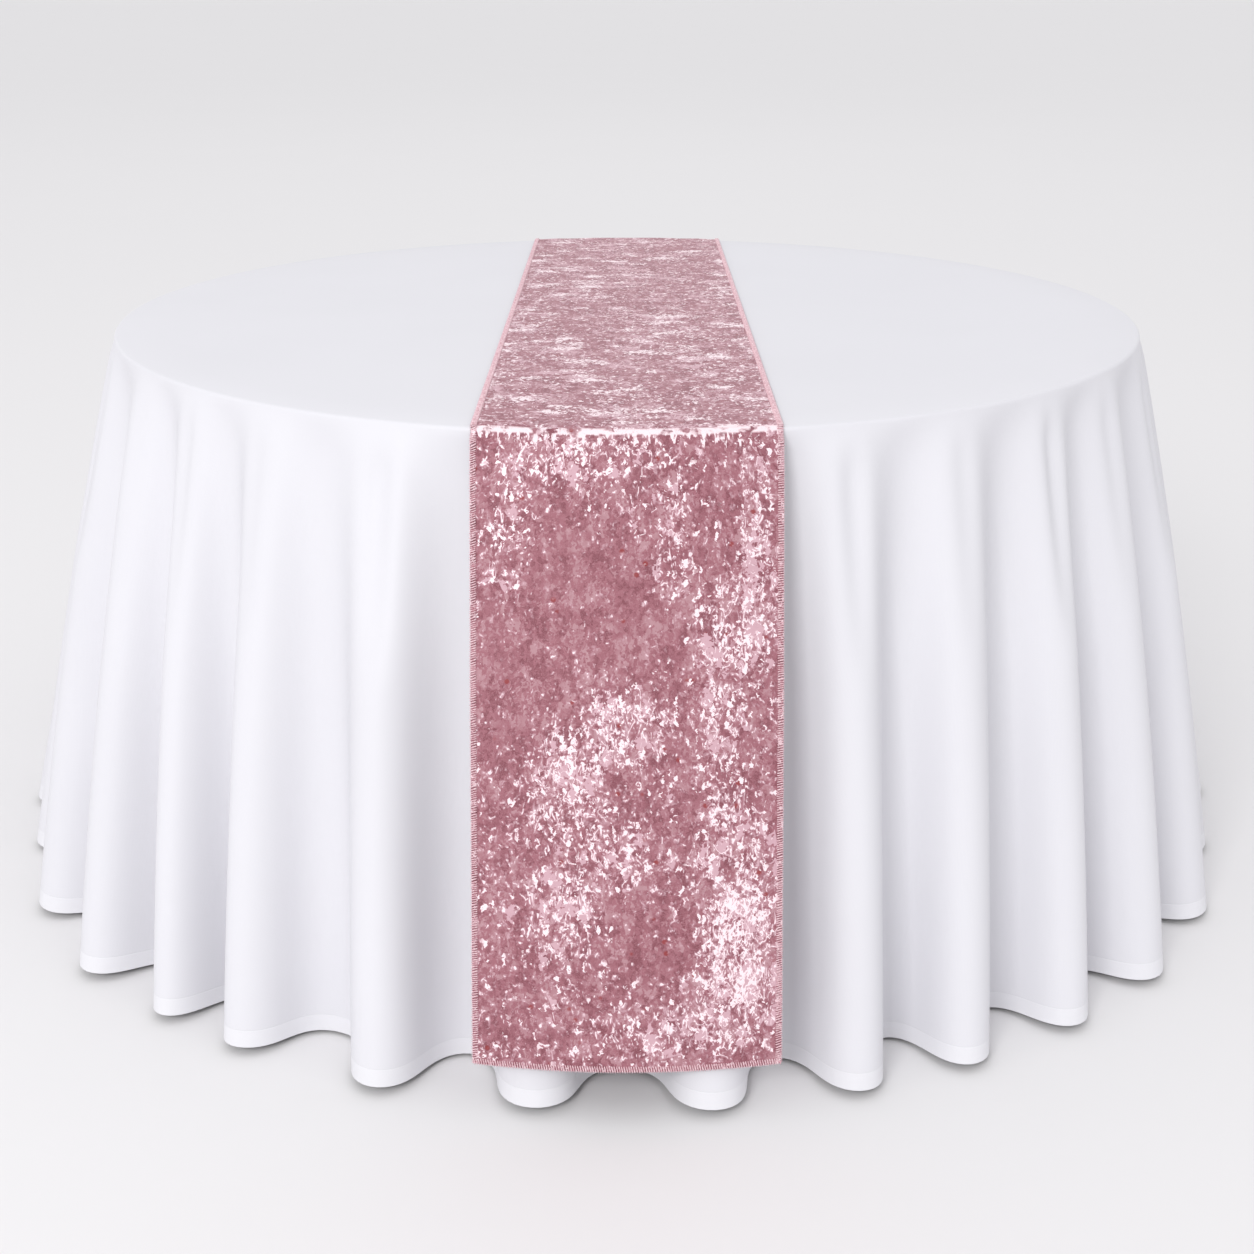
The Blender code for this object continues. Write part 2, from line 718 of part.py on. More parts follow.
def make_overlock():
    """The thread round the runner's four sides, as one closed loop just outside them."""
    side_x = RUNNER_WIDTH / 2 + OVERLOCK_RADIUS + TOUCH_GAP
    side = runner_path(RUNNER_WIDTH / 2, OVERLOCK_RADIUS)
    loop = [Vector((side_x, y, z)) for y, z in side]
    loop += end_run(ENDS["back"])
    loop += [Vector((-side_x, y, z)) for y, z in reversed(side)]
    loop += list(reversed(end_run(ENDS["front"])))
    add_object("runner_overlock_edge", tube_mesh(loop, OVERLOCK_RADIUS, True, 2), PINK_THREAD)


make_top()
make_battens()
for frame_side in SIDES:
    make_leg_frame(frame_side)
    make_brace(frame_side)
make_tablecloth()
make_runner_panel()
make_overlock()
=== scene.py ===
"""Dresses the round folding table: a floor-length satin cloth, a velvet runner and every finish.

Metres, +Z up. The origin is on the floor under the middle of the table, the front is -Y.
An azimuth is measured round the table from the front, positive towards +X.
"""

import json
import logging
import math
from dataclasses import dataclass, field
from enum import Enum
from typing import Callable, Sequence

import bmesh
import bpy
import numpy as np
from mathutils import Matrix, Vector

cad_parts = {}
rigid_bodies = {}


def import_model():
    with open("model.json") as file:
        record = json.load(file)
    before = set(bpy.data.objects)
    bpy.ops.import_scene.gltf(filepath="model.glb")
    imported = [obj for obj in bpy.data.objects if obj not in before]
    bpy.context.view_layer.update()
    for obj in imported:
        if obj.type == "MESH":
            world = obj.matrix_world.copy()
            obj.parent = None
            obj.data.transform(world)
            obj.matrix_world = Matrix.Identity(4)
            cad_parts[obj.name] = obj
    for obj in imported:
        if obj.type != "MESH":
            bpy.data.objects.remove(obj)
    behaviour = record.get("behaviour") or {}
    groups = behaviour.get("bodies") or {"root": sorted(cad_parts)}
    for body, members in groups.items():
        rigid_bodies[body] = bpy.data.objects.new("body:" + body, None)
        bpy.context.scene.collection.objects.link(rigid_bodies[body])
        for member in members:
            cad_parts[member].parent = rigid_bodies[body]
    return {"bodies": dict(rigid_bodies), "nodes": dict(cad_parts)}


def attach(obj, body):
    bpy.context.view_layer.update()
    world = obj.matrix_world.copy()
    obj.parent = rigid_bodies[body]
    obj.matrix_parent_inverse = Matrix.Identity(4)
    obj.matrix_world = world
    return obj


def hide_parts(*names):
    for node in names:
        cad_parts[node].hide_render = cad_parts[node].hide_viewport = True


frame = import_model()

LOG = logging.getLogger("dressed_table")
CUT_MAP = "cut"
CRISP_ANGLE = 70.0  # edges sharper than this stay crisp, in degrees
LINE_STEPS = 80  # heights at which the runner's line is found
LINE_ENDS = 0.02  # the lowest of them, in metres
LINE_BAND = 0.03  # how far above and below each of them the cloth still counts, in metres
LINE_MARGIN = 0.01  # how far past the runner's edges the cloth still counts, in metres
LINE_WINDOW = 9  # how many neighbouring heights the line is evened out over
NUDGE = 0.002  # how far to each side a line's direction is read, in metres
OVERHANG = 0.004  # how far past the velvet's edge its line is still followed, in metres

Colour = tuple[float, float, float]
Place = tuple[float, float, float]
Socket = bpy.types.NodeSocket


class Coordinates(Enum):
    """Where a pattern takes its place from."""

    SOLID = "Object"
    CUT = "UV"


# ------------------------------------------------------------------ finishes


class Finish:
    """One procedural material, built node by node round a Principled shader."""

    def __init__(self, name: str, coordinates: Coordinates, **settings: object) -> None:
        """Starts the material.

        Args:
            name: The material's name.
            coordinates: Where the pattern takes its place from.
            settings: Constant socket values of the shader, with underscores for spaces.
        """
        self.material = bpy.data.materials.new(name)
        self.material.use_nodes = True
        self.tree = self.material.node_tree
        self.shader = self.tree.nodes["Principled BSDF"]
        for socket, value in settings.items():
            self.shader.inputs[socket.replace("_", " ")].default_value = value
        self.place = self.node("ShaderNodeTexCoord").outputs[coordinates.value]

    def node(self, kind: str, **inputs: object) -> bpy.types.Node:
        """Adds a node.

        Args:
            kind: The node's type.
            inputs: Its inputs by name, as sockets to link or as plain values.

        Returns:
            The new node.
        """
        made = self.tree.nodes.new(kind)
        for name, value in inputs.items():
            self.feed(made.inputs[name.replace("_", " ")], value)
        return made

    def feed(self, socket: Socket, value: object) -> None:
        """Links a socket to another one, or sets its value.

        Args:
            socket: The input to fill.
            value: An output socket, or a plain value.
        """
        if isinstance(value, bpy.types.NodeSocket):
            self.tree.links.new(value, socket)
        else:
            socket.default_value = value

    def stretch(self, scale: Place, turn: float = 0.0) -> Socket:
        """The pattern's coordinates, scaled and turned.

        Args:
            scale: The scale along each axis.
            turn: A turn about the third axis, in degrees.

        Returns:
            The changed coordinates.
        """
        mapping = self.node("ShaderNodeMapping", Vector=self.place)
        mapping.inputs["Scale"].default_value = scale
        mapping.inputs["Rotation"].default_value = (0.0, 0.0, math.radians(turn))
        return mapping.outputs["Vector"]

    def noise(self, place: Socket, scale: float, detail: float = 2.0, distortion: float = 0.0) -> Socket:
        """A cloud pattern from 0 to 1, with about scale clouds a metre."""
        made = self.node("ShaderNodeTexNoise", Vector=place, Scale=scale, Detail=detail)
        made.inputs["Distortion"].default_value = distortion
        return made.outputs["Fac"]

    def cells(self, place: Socket, scale: float) -> bpy.types.Node:
        """A cell pattern with about scale cells a metre."""
        return self.node("ShaderNodeTexVoronoi", Vector=place, Scale=scale)

    def draws(self, cells: bpy.types.Node) -> Sequence[Socket]:
        """Three random numbers from 0 to 1 for each cell."""
        return self.node("ShaderNodeSeparateColor", Color=cells.outputs["Color"]).outputs

    def maths(self, operation: str, first: object, second: object = 0.0) -> Socket:
        """One sum on two numbers, each a socket or a plain value."""
        made = self.tree.nodes.new("ShaderNodeMath")
        made.operation = operation
        self.feed(made.inputs[0], first)
        self.feed(made.inputs[1], second)
        return made.outputs["Value"]

    def plus(self, first: object, second: object) -> Socket:
        """The sum of two numbers."""
        return self.maths("ADD", first, second)

    def minus(self, first: object, second: object) -> Socket:
        """The first number less the second."""
        return self.maths("SUBTRACT", first, second)

    def times(self, first: object, second: object) -> Socket:
        """The product of two numbers."""
        return self.maths("MULTIPLY", first, second)

    def over(self, first: object, second: object) -> Socket:
        """The first number divided by the second."""
        return self.maths("DIVIDE", first, second)

    def most(self, first: object, second: object) -> Socket:
        """The larger of two numbers."""
        return self.maths("MAXIMUM", first, second)

    def size_of(self, value: Socket) -> Socket:
        """A number without its sign."""
        return self.maths("ABSOLUTE", value)

    def fade(self, value: Socket, low: float, high: float) -> Socket:
        """A smooth 0 to 1 as the value goes from low to high, which may be the wrong way round."""
        made = self.tree.nodes.new("ShaderNodeMapRange")
        made.interpolation_type = "SMOOTHSTEP"
        flipped = low > high
        self.feed(made.inputs["Value"], value)
        made.inputs["From Min"].default_value = min(low, high)
        made.inputs["From Max"].default_value = max(low, high)
        made.inputs["To Min"].default_value = 1.0 if flipped else 0.0
        made.inputs["To Max"].default_value = 0.0 if flipped else 1.0
        return made.outputs["Result"]

    def blend(self, share: object, first: object, second: object) -> Socket:
        """A colour between two, each a socket or a colour.

        Args:
            share: How much of the second, from 0 to 1.
            first: The colour at 0.
            second: The colour at 1.

        Returns:
            The mixed colour.
        """
        made = self.tree.nodes.new("ShaderNodeMix")
        made.data_type = "RGBA"
        self.feed(made.inputs["Factor"], share)
        for name, value in (("A", first), ("B", second)):
            socket = next(s for s in made.inputs if s.name == name and s.type == "RGBA")
            self.feed(socket, value if isinstance(value, bpy.types.NodeSocket) else (*value, 1.0))
        return next(s for s in made.outputs if s.type == "RGBA")

    def colour(self, value: Socket) -> None:
        """Feeds the shader's base colour."""
        self.feed(self.shader.inputs["Base Color"], value)

    def roughness(self, value: Socket) -> None:
        """Feeds the shader's roughness."""
        self.feed(self.shader.inputs["Roughness"], value)

    def relief(self, height: Socket, distance: float, strength: float = 1.0) -> None:
        """Bumps the surface.

        Args:
            height: The height, from 0 to 1.
            distance: The height of 1, in metres.
            strength: How much of the bump shows.
        """
        bump = self.node("ShaderNodeBump", Height=height, Distance=distance, Strength=strength)
        self.feed(self.shader.inputs["Normal"], bump.outputs["Normal"])


@dataclass(frozen=True)
class SatinPolyester:
    """White table linen: a smooth weave that is denser where the hem is doubled.

    Attributes:
        white: The single cloth.
        doubled: The cloth where the hem lies behind it.
        hem_height: How far the hem is turned up, in metres.
        hem_soft: Half the width over which the colour changes at the hem's seam.
        cut_radius: The radius of the cut.
        weave_scale: The scale of the faint waves of the weave, which repeat every 4.4 mm.
        groove: Half the width of the seam's groove.
        relief: The depth of the groove.
    """

    white: Colour = (0.690, 0.684, 0.718)
    doubled: Colour = (0.722, 0.717, 0.748)
    hem_height: float = 0.020
    hem_soft: float = 0.0008
    cut_radius: float = 1.524
    weave_scale: float = 71.428571
    groove: float = 0.0012
    relief: float = 0.0005

    def material(self) -> bpy.types.Material:
        """The finish on the cloth's own cut coordinates."""
        made = Finish(
            "satin_polyester",
            Coordinates.CUT,
            Roughness=0.52,
            Specular_IOR_Level=0.25,
            Sheen_Weight=0.03,
            Sheen_Roughness=0.45,
        )
        reach = made.node("ShaderNodeVectorMath", Vector=made.place)
        reach.operation = "LENGTH"
        from_hem = made.minus(self.cut_radius, reach.outputs["Value"])
        in_hem = made.fade(from_hem, self.hem_height + self.hem_soft, self.hem_height - self.hem_soft)
        cloud = made.noise(made.place, 3.0, 3.0)
        soft = made.blend(made.fade(cloud, 0.3, 0.7), self.white, tuple(c * 0.985 for c in self.white))
        made.colour(made.blend(in_hem, soft, self.doubled))
        warp = made.node("ShaderNodeTexWave", Vector=made.place, Scale=self.weave_scale)
        weft = made.node("ShaderNodeTexWave", Vector=made.place, Scale=self.weave_scale)
        weft.bands_direction = "Y"
        weave = made.times(warp.outputs["Fac"], weft.outputs["Fac"])
        seam = made.size_of(made.minus(from_hem, self.hem_height))
        groove = made.fade(seam, 0.0, self.groove)
        made.relief(made.plus(made.times(weave, 0.10), groove), self.relief, 0.35)
        return made.material


# Where the painted highlights on the shards of the hanging front crowd together, and where they thin out:
# the place across and along the runner, the width and height, and how much is added.
HIGHLIGHT_CLUSTERS = (
    (0.139, -0.975, 0.030, 0.065, 0.90),
    (0.096, -1.013, 0.022, 0.030, 0.60),
    (0.000, -1.110, 0.045, 0.040, 0.90),
    (-0.075, -1.180, 0.038, 0.050, 1.00),
    (-0.015, -1.245, 0.028, 0.045, 0.75),
    (0.120, -1.270, 0.038, 0.075, 0.80),
    (0.130, -1.370, 0.038, 0.060, 0.95),
    (0.105, -1.100, 0.022, 0.050, 0.70),
    (-0.076, -1.320, 0.035, 0.050, 0.80),
    (0.110, -1.440, 0.060, 0.045, 0.80),
    (0.030, -1.470, 0.055, 0.028, 0.50),
    (-0.135, -0.890, 0.022, 0.055, 0.60),
    (-0.112, -0.800, 0.035, 0.030, 0.60),
    (0.053, -0.905, 0.016, 0.060, 0.55),
    (-0.020, -0.795, 0.050, 0.025, 0.60),
    (0.147, -0.840, 0.020, 0.055, 0.60),
    (-0.060, -0.960, 0.070, 0.090, -0.45),
    (0.020, -1.020, 0.045, 0.050, -0.35),
    (-0.140, -1.080, 0.035, 0.090, -0.35),
    (0.030, -1.370, 0.040, 0.060, -0.35),
)


@dataclass(frozen=True)
class CrushedVelvet:
    """Dusty-rose velvet whose pile is crushed into shards and dull patches; the shards carry painted
    highlights and painted sheen.

    Attributes:
        rose: The pile seen side on.
        deep: The pile seen end on, in the hollows.
        pale: The pile that lies over a little.
        painted_highlight: The near-white colour painted where the crushed shards would catch the light, as
            a painted highlight.
        painted_sheen: A softer painted sheen round the painted highlights.
        fleck: Single tufts of a stronger red.
        bend: How far from the middle the runner bends over the table's edge, in metres.
    """

    rose: Colour = (0.318, 0.118, 0.148)
    deep: Colour = (0.205, 0.058, 0.078)
    pale: Colour = (0.430, 0.235, 0.265)
    # Painted highlight: the near-white colour where the crushed pile would catch the light.
    painted_highlight: Colour = (0.90, 0.74, 0.78)
    # Painted sheen: the paler rose laid round the painted highlights.
    painted_sheen: Colour = (0.62, 0.40, 0.455)
    fleck: Colour = (0.26, 0.03, 0.03)
    bend: float = 0.7665

    def clusters(self, made: Finish, across: Socket, along: Socket) -> Socket:
        """How thickly the shards with their painted highlights lie, from 0 to 1.

        Args:
            made: The finish being built.
            across: The place across the runner.
            along: The place along it, from the middle of the top.

        Returns:
            The density of shards.
        """
        cloud = made.noise(made.stretch((1.6, 1.0, 1.0), 25.0), 11.0, 3.0, 0.6)
        density = made.times(made.fade(cloud, 0.40, 0.75), 0.40)
        for at_x, at_y, wide, tall, gain in HIGHLIGHT_CLUSTERS:
            aside = made.over(made.minus(across, at_x), wide)
            ahead = made.over(made.minus(along, at_y), tall)
            squared = made.plus(made.times(aside, aside), made.times(ahead, ahead))
            density = made.plus(density, made.times(made.fade(squared, 2.5, 0.0), gain))
        return made.times(density, 0.5)

    def strokes(
        self, made: Finish, density: Socket, on_top: Socket, turn: float, scale: float, stretched: float
    ) -> tuple[Socket, Socket]:
        """Thin curling strokes of bent pile that lie mostly one way, painted as highlights.

        Args:
            made: The finish being built.
            density: How thickly they lie.
            on_top: 1 on the top of the table, where there are fewer.
            turn: Which way they lie, in degrees.
            scale: How many bends they make a metre.
            stretched: Their scale along their length.

        Returns:
            The painted highlight's bright core and the softer painted sheen round it, from 0 to 1.
        """
        place = made.stretch((1.0, stretched, 1.0), turn)
        ridge = made.size_of(made.minus(made.noise(place, scale, 3.0, 1.2), 0.5))
        broken = made.noise(made.stretch((1.0, 1.0, 1.0), turn), scale * 1.7, 2.0)
        crowd = made.plus(density, made.times(on_top, 0.10))
        chance = made.plus(broken, made.times(crowd, 0.22))
        kept = made.fade(chance, 0.62, 0.67)
        core = made.times(made.fade(ridge, 0.026, 0.010), kept)
        painted_sheen = made.times(made.fade(ridge, 0.085, 0.015), made.fade(chance, 0.55, 0.68))
        return core, painted_sheen

    def crumple(self, made: Finish, scale: Place, turn: float, amount: float) -> Socket:
        """Coordinates that are stretched, turned and then crumpled by a few millimetres.

        Args:
            made: The finish being built.
            scale: The stretch along each axis.
            turn: The turn, in degrees.
            amount: How far a point may move, in metres.

        Returns:
            The crumpled coordinates.
        """
        cloud = made.node("ShaderNodeTexNoise", Vector=made.place, Scale=170.0, Detail=3.0)
        moved = made.node("ShaderNodeVectorMath", Vector=cloud.outputs["Color"])
        moved.operation = "SCALE"
        moved.inputs["Scale"].default_value = amount
        bent = made.tree.nodes.new("ShaderNodeVectorMath")
        bent.operation = "ADD"
        made.feed(bent.inputs[0], made.stretch(scale, turn))
        made.feed(bent.inputs[1], moved.outputs["Vector"])
        return bent.outputs["Vector"]

    def facets(self, made: Finish, place: Socket, scale: float) -> tuple[Socket, Socket]:
        """Small flat tufts, as two random numbers for each."""
        tone, luck, _ = made.draws(made.cells(place, scale))
        return tone, luck

    def shards(
        self, made: Finish, density: Socket, on_top: Socket, luck: Socket, fine_luck: Socket
    ) -> tuple[Socket, Socket]:
        """The shards of crushed pile as painted highlights, and the softer painted sheen round them.

        Args:
            made: The finish being built.
            density: How thickly the shards lie.
            on_top: 1 on the top of the table, where they lie as long streaks.
            luck: A random number for each tuft.
            fine_luck: A random number for each fine tuft.

        Returns:
            The painted highlight and the painted sheen, from 0 to 1.
        """
        # Painted highlights and painted sheen: the crushed pattern is the velvet's own, its near-white
        # brightness stands in for reflected light.
        streak = self.facets(made, self.crumple(made, (0.48, 1.0, 1.0), 12.0, 0.046), 74.0)[1]
        drift = made.noise(made.stretch((1.0, 0.8, 1.0), 30.0), 17.0, 2.0)
        streak = made.plus(streak, made.times(made.minus(drift, 0.5), 0.9))
        painted_halo = made.fade(made.plus(luck, made.times(density, 0.46)), 0.99, 1.0)
        painted_halo = made.most(painted_halo, made.times(made.fade(streak, 0.78, 0.80), on_top))
        painted_highlight = made.fade(made.plus(fine_luck, made.times(density, 0.22)), 0.975, 0.99)
        painted_highlight = made.most(painted_highlight, made.times(made.fade(streak, 0.92, 0.94), on_top))
        for turn, scale, stretched in ((38.0, 62.0, 0.50), (-31.0, 74.0, 0.55), (84.0, 52.0, 0.42)):
            core, painted_sheen = self.strokes(made, density, on_top, turn, scale, stretched)
            painted_highlight = made.most(painted_highlight, core)
            painted_halo = made.most(painted_halo, made.times(painted_sheen, 0.8))
        return painted_highlight, painted_halo

    def bend_highlight(self, made: Finish, past_bend: Socket) -> Socket:
        """A painted highlight: the ragged bright line where the runner bends over the table's edge, from 0
        to 1.
        """
        ragged = made.noise(made.stretch((1.0, 0.2, 1.0)), 190.0, 3.0)
        below = made.minus(past_bend, made.times(made.fade(ragged, 0.46, 0.80), 0.028))
        line = made.times(made.fade(below, 0.0045, 0.0010), made.fade(past_bend, -0.0095, -0.0050))
        return made.times(line, made.fade(made.noise(made.place, 60.0, 3.0), 0.36, 0.50))

    def base(self, made: Finish, tone: Socket, fine_tone: Socket) -> Socket:
        """The colour of the pile between the shards.

        Args:
            made: The finish being built.
            tone: A random number for each tuft.
            fine_tone: A random number for each fine tuft.

        Returns:
            The colour.
        """
        patch = made.plus(made.times(made.noise(made.place, 30.0, 3.0, 0.8), 0.9), -0.45)
        tone = made.plus(made.plus(made.times(tone, 0.5), made.times(fine_tone, 0.5)), patch)
        base = made.blend(made.fade(tone, 0.10, 0.58), self.deep, self.rose)
        base = made.blend(made.fade(tone, 0.52, 0.92), base, self.pale)
        speckle = made.fade(made.noise(made.place, 760.0, 2.0), 0.40, 0.7)
        base = made.blend(made.times(speckle, 0.30), base, self.pale)
        spots = made.cells(made.place, 75.0)
        chosen = made.fade(made.draws(spots)[1], 0.90, 0.94)
        flecks = made.times(chosen, made.fade(spots.outputs["Distance"], 0.30, 0.14))
        return made.blend(made.times(flecks, 0.8), base, self.fleck)

    def material(self) -> bpy.types.Material:
        """The finish on the runner's own cut coordinates."""
        made = Finish(
            "crushed_velvet",
            Coordinates.CUT,
            Specular_IOR_Level=0.30,
            Sheen_Weight=0.25,
            Sheen_Roughness=0.35,
            Sheen_Tint=(1.0, 0.75, 0.80, 1.0),
        )
        parts = made.node("ShaderNodeSeparateXYZ", Vector=made.place)
        across, along = parts.outputs["X"], parts.outputs["Y"]
        round_edge = made.over(made.times(across, across), 2 * self.bend)
        past_bend = made.minus(made.plus(made.size_of(along), round_edge), self.bend)
        on_top = made.fade(past_bend, 0.0, -0.01)
        grain = made.noise(made.place, 900.0, 1.0)
        tone, luck = self.facets(made, self.crumple(made, (1.0, 0.52, 1.0), -22.0, 0.020), 100.0)
        fine = self.crumple(made, (1.0, 0.62, 1.0), 24.0, 0.011)
        fine_tone, fine_luck = self.facets(made, fine, 270.0)
        density = self.clusters(made, across, along)
        painted_highlight, painted_halo = self.shards(made, density, on_top, luck, fine_luck)
        # Painted highlight along the bend over the table's edge, added to the shards' painted highlights.
        painted_highlight = made.most(painted_highlight, self.bend_highlight(made, past_bend))
        painted_highlight = made.times(painted_highlight, made.fade(grain, 0.16, 0.42))
        # The painted sheen round the shards goes into the base colour here.
        base = made.blend(made.times(painted_halo, 0.85), self.base(made, tone, fine_tone), self.painted_sheen)
        # The painted highlights go into the base colour here.
        made.colour(made.blend(painted_highlight, base, self.painted_highlight))
        made.roughness(made.minus(0.62, made.times(painted_highlight, 0.30)))
        swell = made.noise(made.place, 90.0, 2.0)
        made.relief(made.plus(made.times(grain, 0.35), made.times(swell, 0.6)), 0.0009, 0.55)
        return made.material


@dataclass(frozen=True)
class WoollyThread:
    """Soft textured nylon thread that covers a seam."""

    name: str = "woolly_thread"
    colour: Colour = (0.60, 0.32, 0.37)
    pale: Colour = (0.84, 0.63, 0.67)

    def material(self) -> bpy.types.Material:
        """The finish on object coordinates, so that each stitch has its own shade."""
        made = Finish(self.name, Coordinates.SOLID, Roughness=0.7, Sheen_Weight=0.3)
        tone = made.noise(made.place, 420.0, 2.0)
        made.colour(made.blend(made.fade(tone, 0.3, 0.7), self.colour, self.pale))
        made.relief(made.noise(made.place, 2600.0, 1.0), 0.0003, 0.4)
        return made.material


@dataclass(frozen=True)
class Timber:
    """Wood with its grain along X."""

    name: str
    light: Colour
    dark: Colour
    rings: float
    roughness: float

    def material(self) -> bpy.types.Material:
        """The finish on object coordinates."""
        made = Finish(self.name, Coordinates.SOLID, Specular_IOR_Level=0.35)
        along = made.stretch((0.06, 1.0, 1.0))
        figure = made.noise(along, self.rings, 6.0, 1.8)
        pores = made.noise(made.stretch((0.03, 1.0, 1.0)), 900.0, 2.0)
        grain = made.blend(made.fade(figure, 0.3, 0.7), self.light, self.dark)
        dull = tuple(c * 0.72 for c in self.dark)
        made.colour(made.blend(made.times(made.fade(pores, 0.56, 0.72), 0.6), grain, dull))
        made.roughness(made.plus(self.roughness, made.times(figure, 0.15)))
        made.relief(made.plus(pores, figure), 0.0003, 0.4)
        return made.material


@dataclass(frozen=True)
class CoatedMetal:
    """Painted or plated steel with a fine skin and rubbed patches."""

    name: str
    colour: Colour
    worn: Colour
    metallic: float
    roughness: float
    grain: float

    def material(self) -> bpy.types.Material:
        """The finish on object coordinates."""
        made = Finish(self.name, Coordinates.SOLID, Metallic=self.metallic)
        cloud = made.noise(made.place, 14.0, 5.0, 0.5)
        made.colour(made.blend(made.fade(cloud, 0.48, 0.72), self.colour, self.worn))
        made.roughness(made.plus(self.roughness, made.times(cloud, 0.18)))
        made.relief(made.noise(made.place, self.grain, 2.0), 0.00025, 0.35)
        return made.material


@dataclass(frozen=True)
class Moulded:
    """Moulded vinyl or rubber with a fine matt grain."""

    name: str
    colour: Colour
    scuff: Colour
    roughness: float

    def material(self) -> bpy.types.Material:
        """The finish on object coordinates."""
        made = Finish(self.name, Coordinates.SOLID, Specular_IOR_Level=0.4)
        cloud = made.noise(made.place, 26.0, 5.0, 0.4)
        made.colour(made.blend(made.fade(cloud, 0.5, 0.75), self.colour, self.scuff))
        made.roughness(made.plus(self.roughness, made.times(cloud, 0.2)))
        made.relief(made.noise(made.place, 1500.0, 2.0), 0.0002, 0.5)
        return made.material


# ------------------------------------------------------------------ mesh helpers


def new_piece(name: str, bm: bmesh.types.BMesh, material: bpy.types.Material) -> bpy.types.Object:
    """Makes a scene object from a finished bmesh, at the origin.

    Args:
        name: The piece's name.
        bm: Its shape, which is freed.
        material: Its finish.

    Returns:
        The new object, shaded smooth.
    """
    mesh = bpy.data.meshes.new(name)
    bm.to_mesh(mesh)
    bm.free()
    mesh.materials.append(material)
    mesh.shade_smooth()
    piece = bpy.data.objects.new(name, mesh)
    bpy.context.scene.collection.objects.link(piece)
    return piece


def keep_cut_map(bm: bmesh.types.BMesh) -> None:
    """Stores each corner's flat place, in metres, before the cloth is bent."""
    layer = bm.loops.layers.uv.new(CUT_MAP)
    for face in bm.faces:
        for loop in face.loops:
            loop[layer].uv = loop.vert.co.xy


def move_all(bm: bmesh.types.BMesh, place: Callable[[np.ndarray], np.ndarray]) -> None:
    """Moves every point of a bmesh by one function of all their places.

    Args:
        bm: The shape.
        place: Takes the points as rows and returns their new places.
    """
    old = np.array([vert.co for vert in bm.verts], float)
    for vert, spot in zip(bm.verts, place(old)):
        vert.co = spot


def thicken(piece: bpy.types.Object, thickness: float, offset: float) -> None:
    """Gives a surface its thickness, with a closed rim that stays crisp.

    Args:
        piece: The surface, which becomes a thin solid.
        thickness: How thick it gets, in metres.
        offset: -1 to grow inwards, 1 to grow outwards.
    """
    shell = piece.modifiers.new("thickness", "SOLIDIFY")
    shell.thickness = thickness
    shell.offset = offset
    shell.use_even_offset = True
    graph = bpy.context.evaluated_depsgraph_get()
    solid = bpy.data.meshes.new_from_object(piece.evaluated_get(graph))
    piece.modifiers.clear()
    surface = piece.data
    piece.data = solid
    bpy.data.meshes.remove(surface)
    solid.name = piece.name
    solid.set_sharp_from_angle(angle=math.radians(CRISP_ANGLE))


# ------------------------------------------------------------------ tablecloth


@dataclass
class Folds:
    """The plan of the skirt's folds: where each one stands and how far it swings out.

    Attributes:
        front: The azimuths of the crests that face the front, in degrees.
        others: How many more folds there are round the sides and the back.
        seed: The seed of the small differences between folds.
        flank_starts: How far towards the side the folds start to hang closer in, as a sine.
        flank_full_after: How much further they do so fully.
        crest_calm: How much less the side crests swing out, on the left and on the right.
        trough_calm: How much less the side troughs do.
        crests: The azimuth of each crest.
        troughs: The azimuth of the trough after each crest.
        crest_gain: How far out each crest swings, against an even fold.
        trough_gain: The same for the trough after it.
        dimple: How deep the dent at the top of each fold is.
        sway: How far each fold wanders sideways by the hem, in degrees.
    """

    front: tuple[float, ...] = (-45.7, -37.1, -28.3, -17.9, -6.9, 5.9, 16.0, 25.5, 35.2, 44.7)
    others: int = 22
    seed: int = 7
    flank_starts: float = 0.79
    flank_full_after: float = 0.15
    crest_calm: tuple[float, float] = (0.17, 0.25)
    trough_calm: float = 0.14
    crests: np.ndarray = field(init=False)
    troughs: np.ndarray = field(init=False)
    crest_gain: np.ndarray = field(init=False)
    trough_gain: np.ndarray = field(init=False)
    dimple: np.ndarray = field(init=False)
    sway: np.ndarray = field(init=False)

    def __post_init__(self) -> None:
        """Places the crests all round, and the troughs midway between them."""
        draw = np.random.default_rng(self.seed)
        spare = 360.0 - (self.front[-1] - self.front[0])
        step = spare / (self.others + 1)
        rest = self.front[-1] + step * np.arange(1, self.others + 1)
        rest += draw.uniform(-1.3, 1.3, self.others)
        self.crests = np.concatenate([self.front, rest])
        following = np.append(self.crests[1:], self.crests[0] + 360.0)
        self.troughs = (self.crests + following) / 2
        count = len(self.crests)
        aside = np.sin(np.radians(self.crests))
        beside = np.clip((np.abs(aside) - self.flank_starts) / self.flank_full_after, 0.0, 1.0)
        calm = np.where(aside > 0, self.crest_calm[1], self.crest_calm[0])
        self.crest_gain = 1.0 - beside * calm + draw.uniform(-0.02, 0.02, count)
        self.trough_gain = 1.0 - self.trough_calm * beside + draw.uniform(-0.07, 0.07, count)
        self.dimple = np.clip(draw.normal(0.80, 0.45, count), 0.0, 1.5)
        self.sway = draw.uniform(-0.9, 0.9, count)

    @property
    def count(self) -> int:
        """How many folds there are."""
        return len(self.crests)


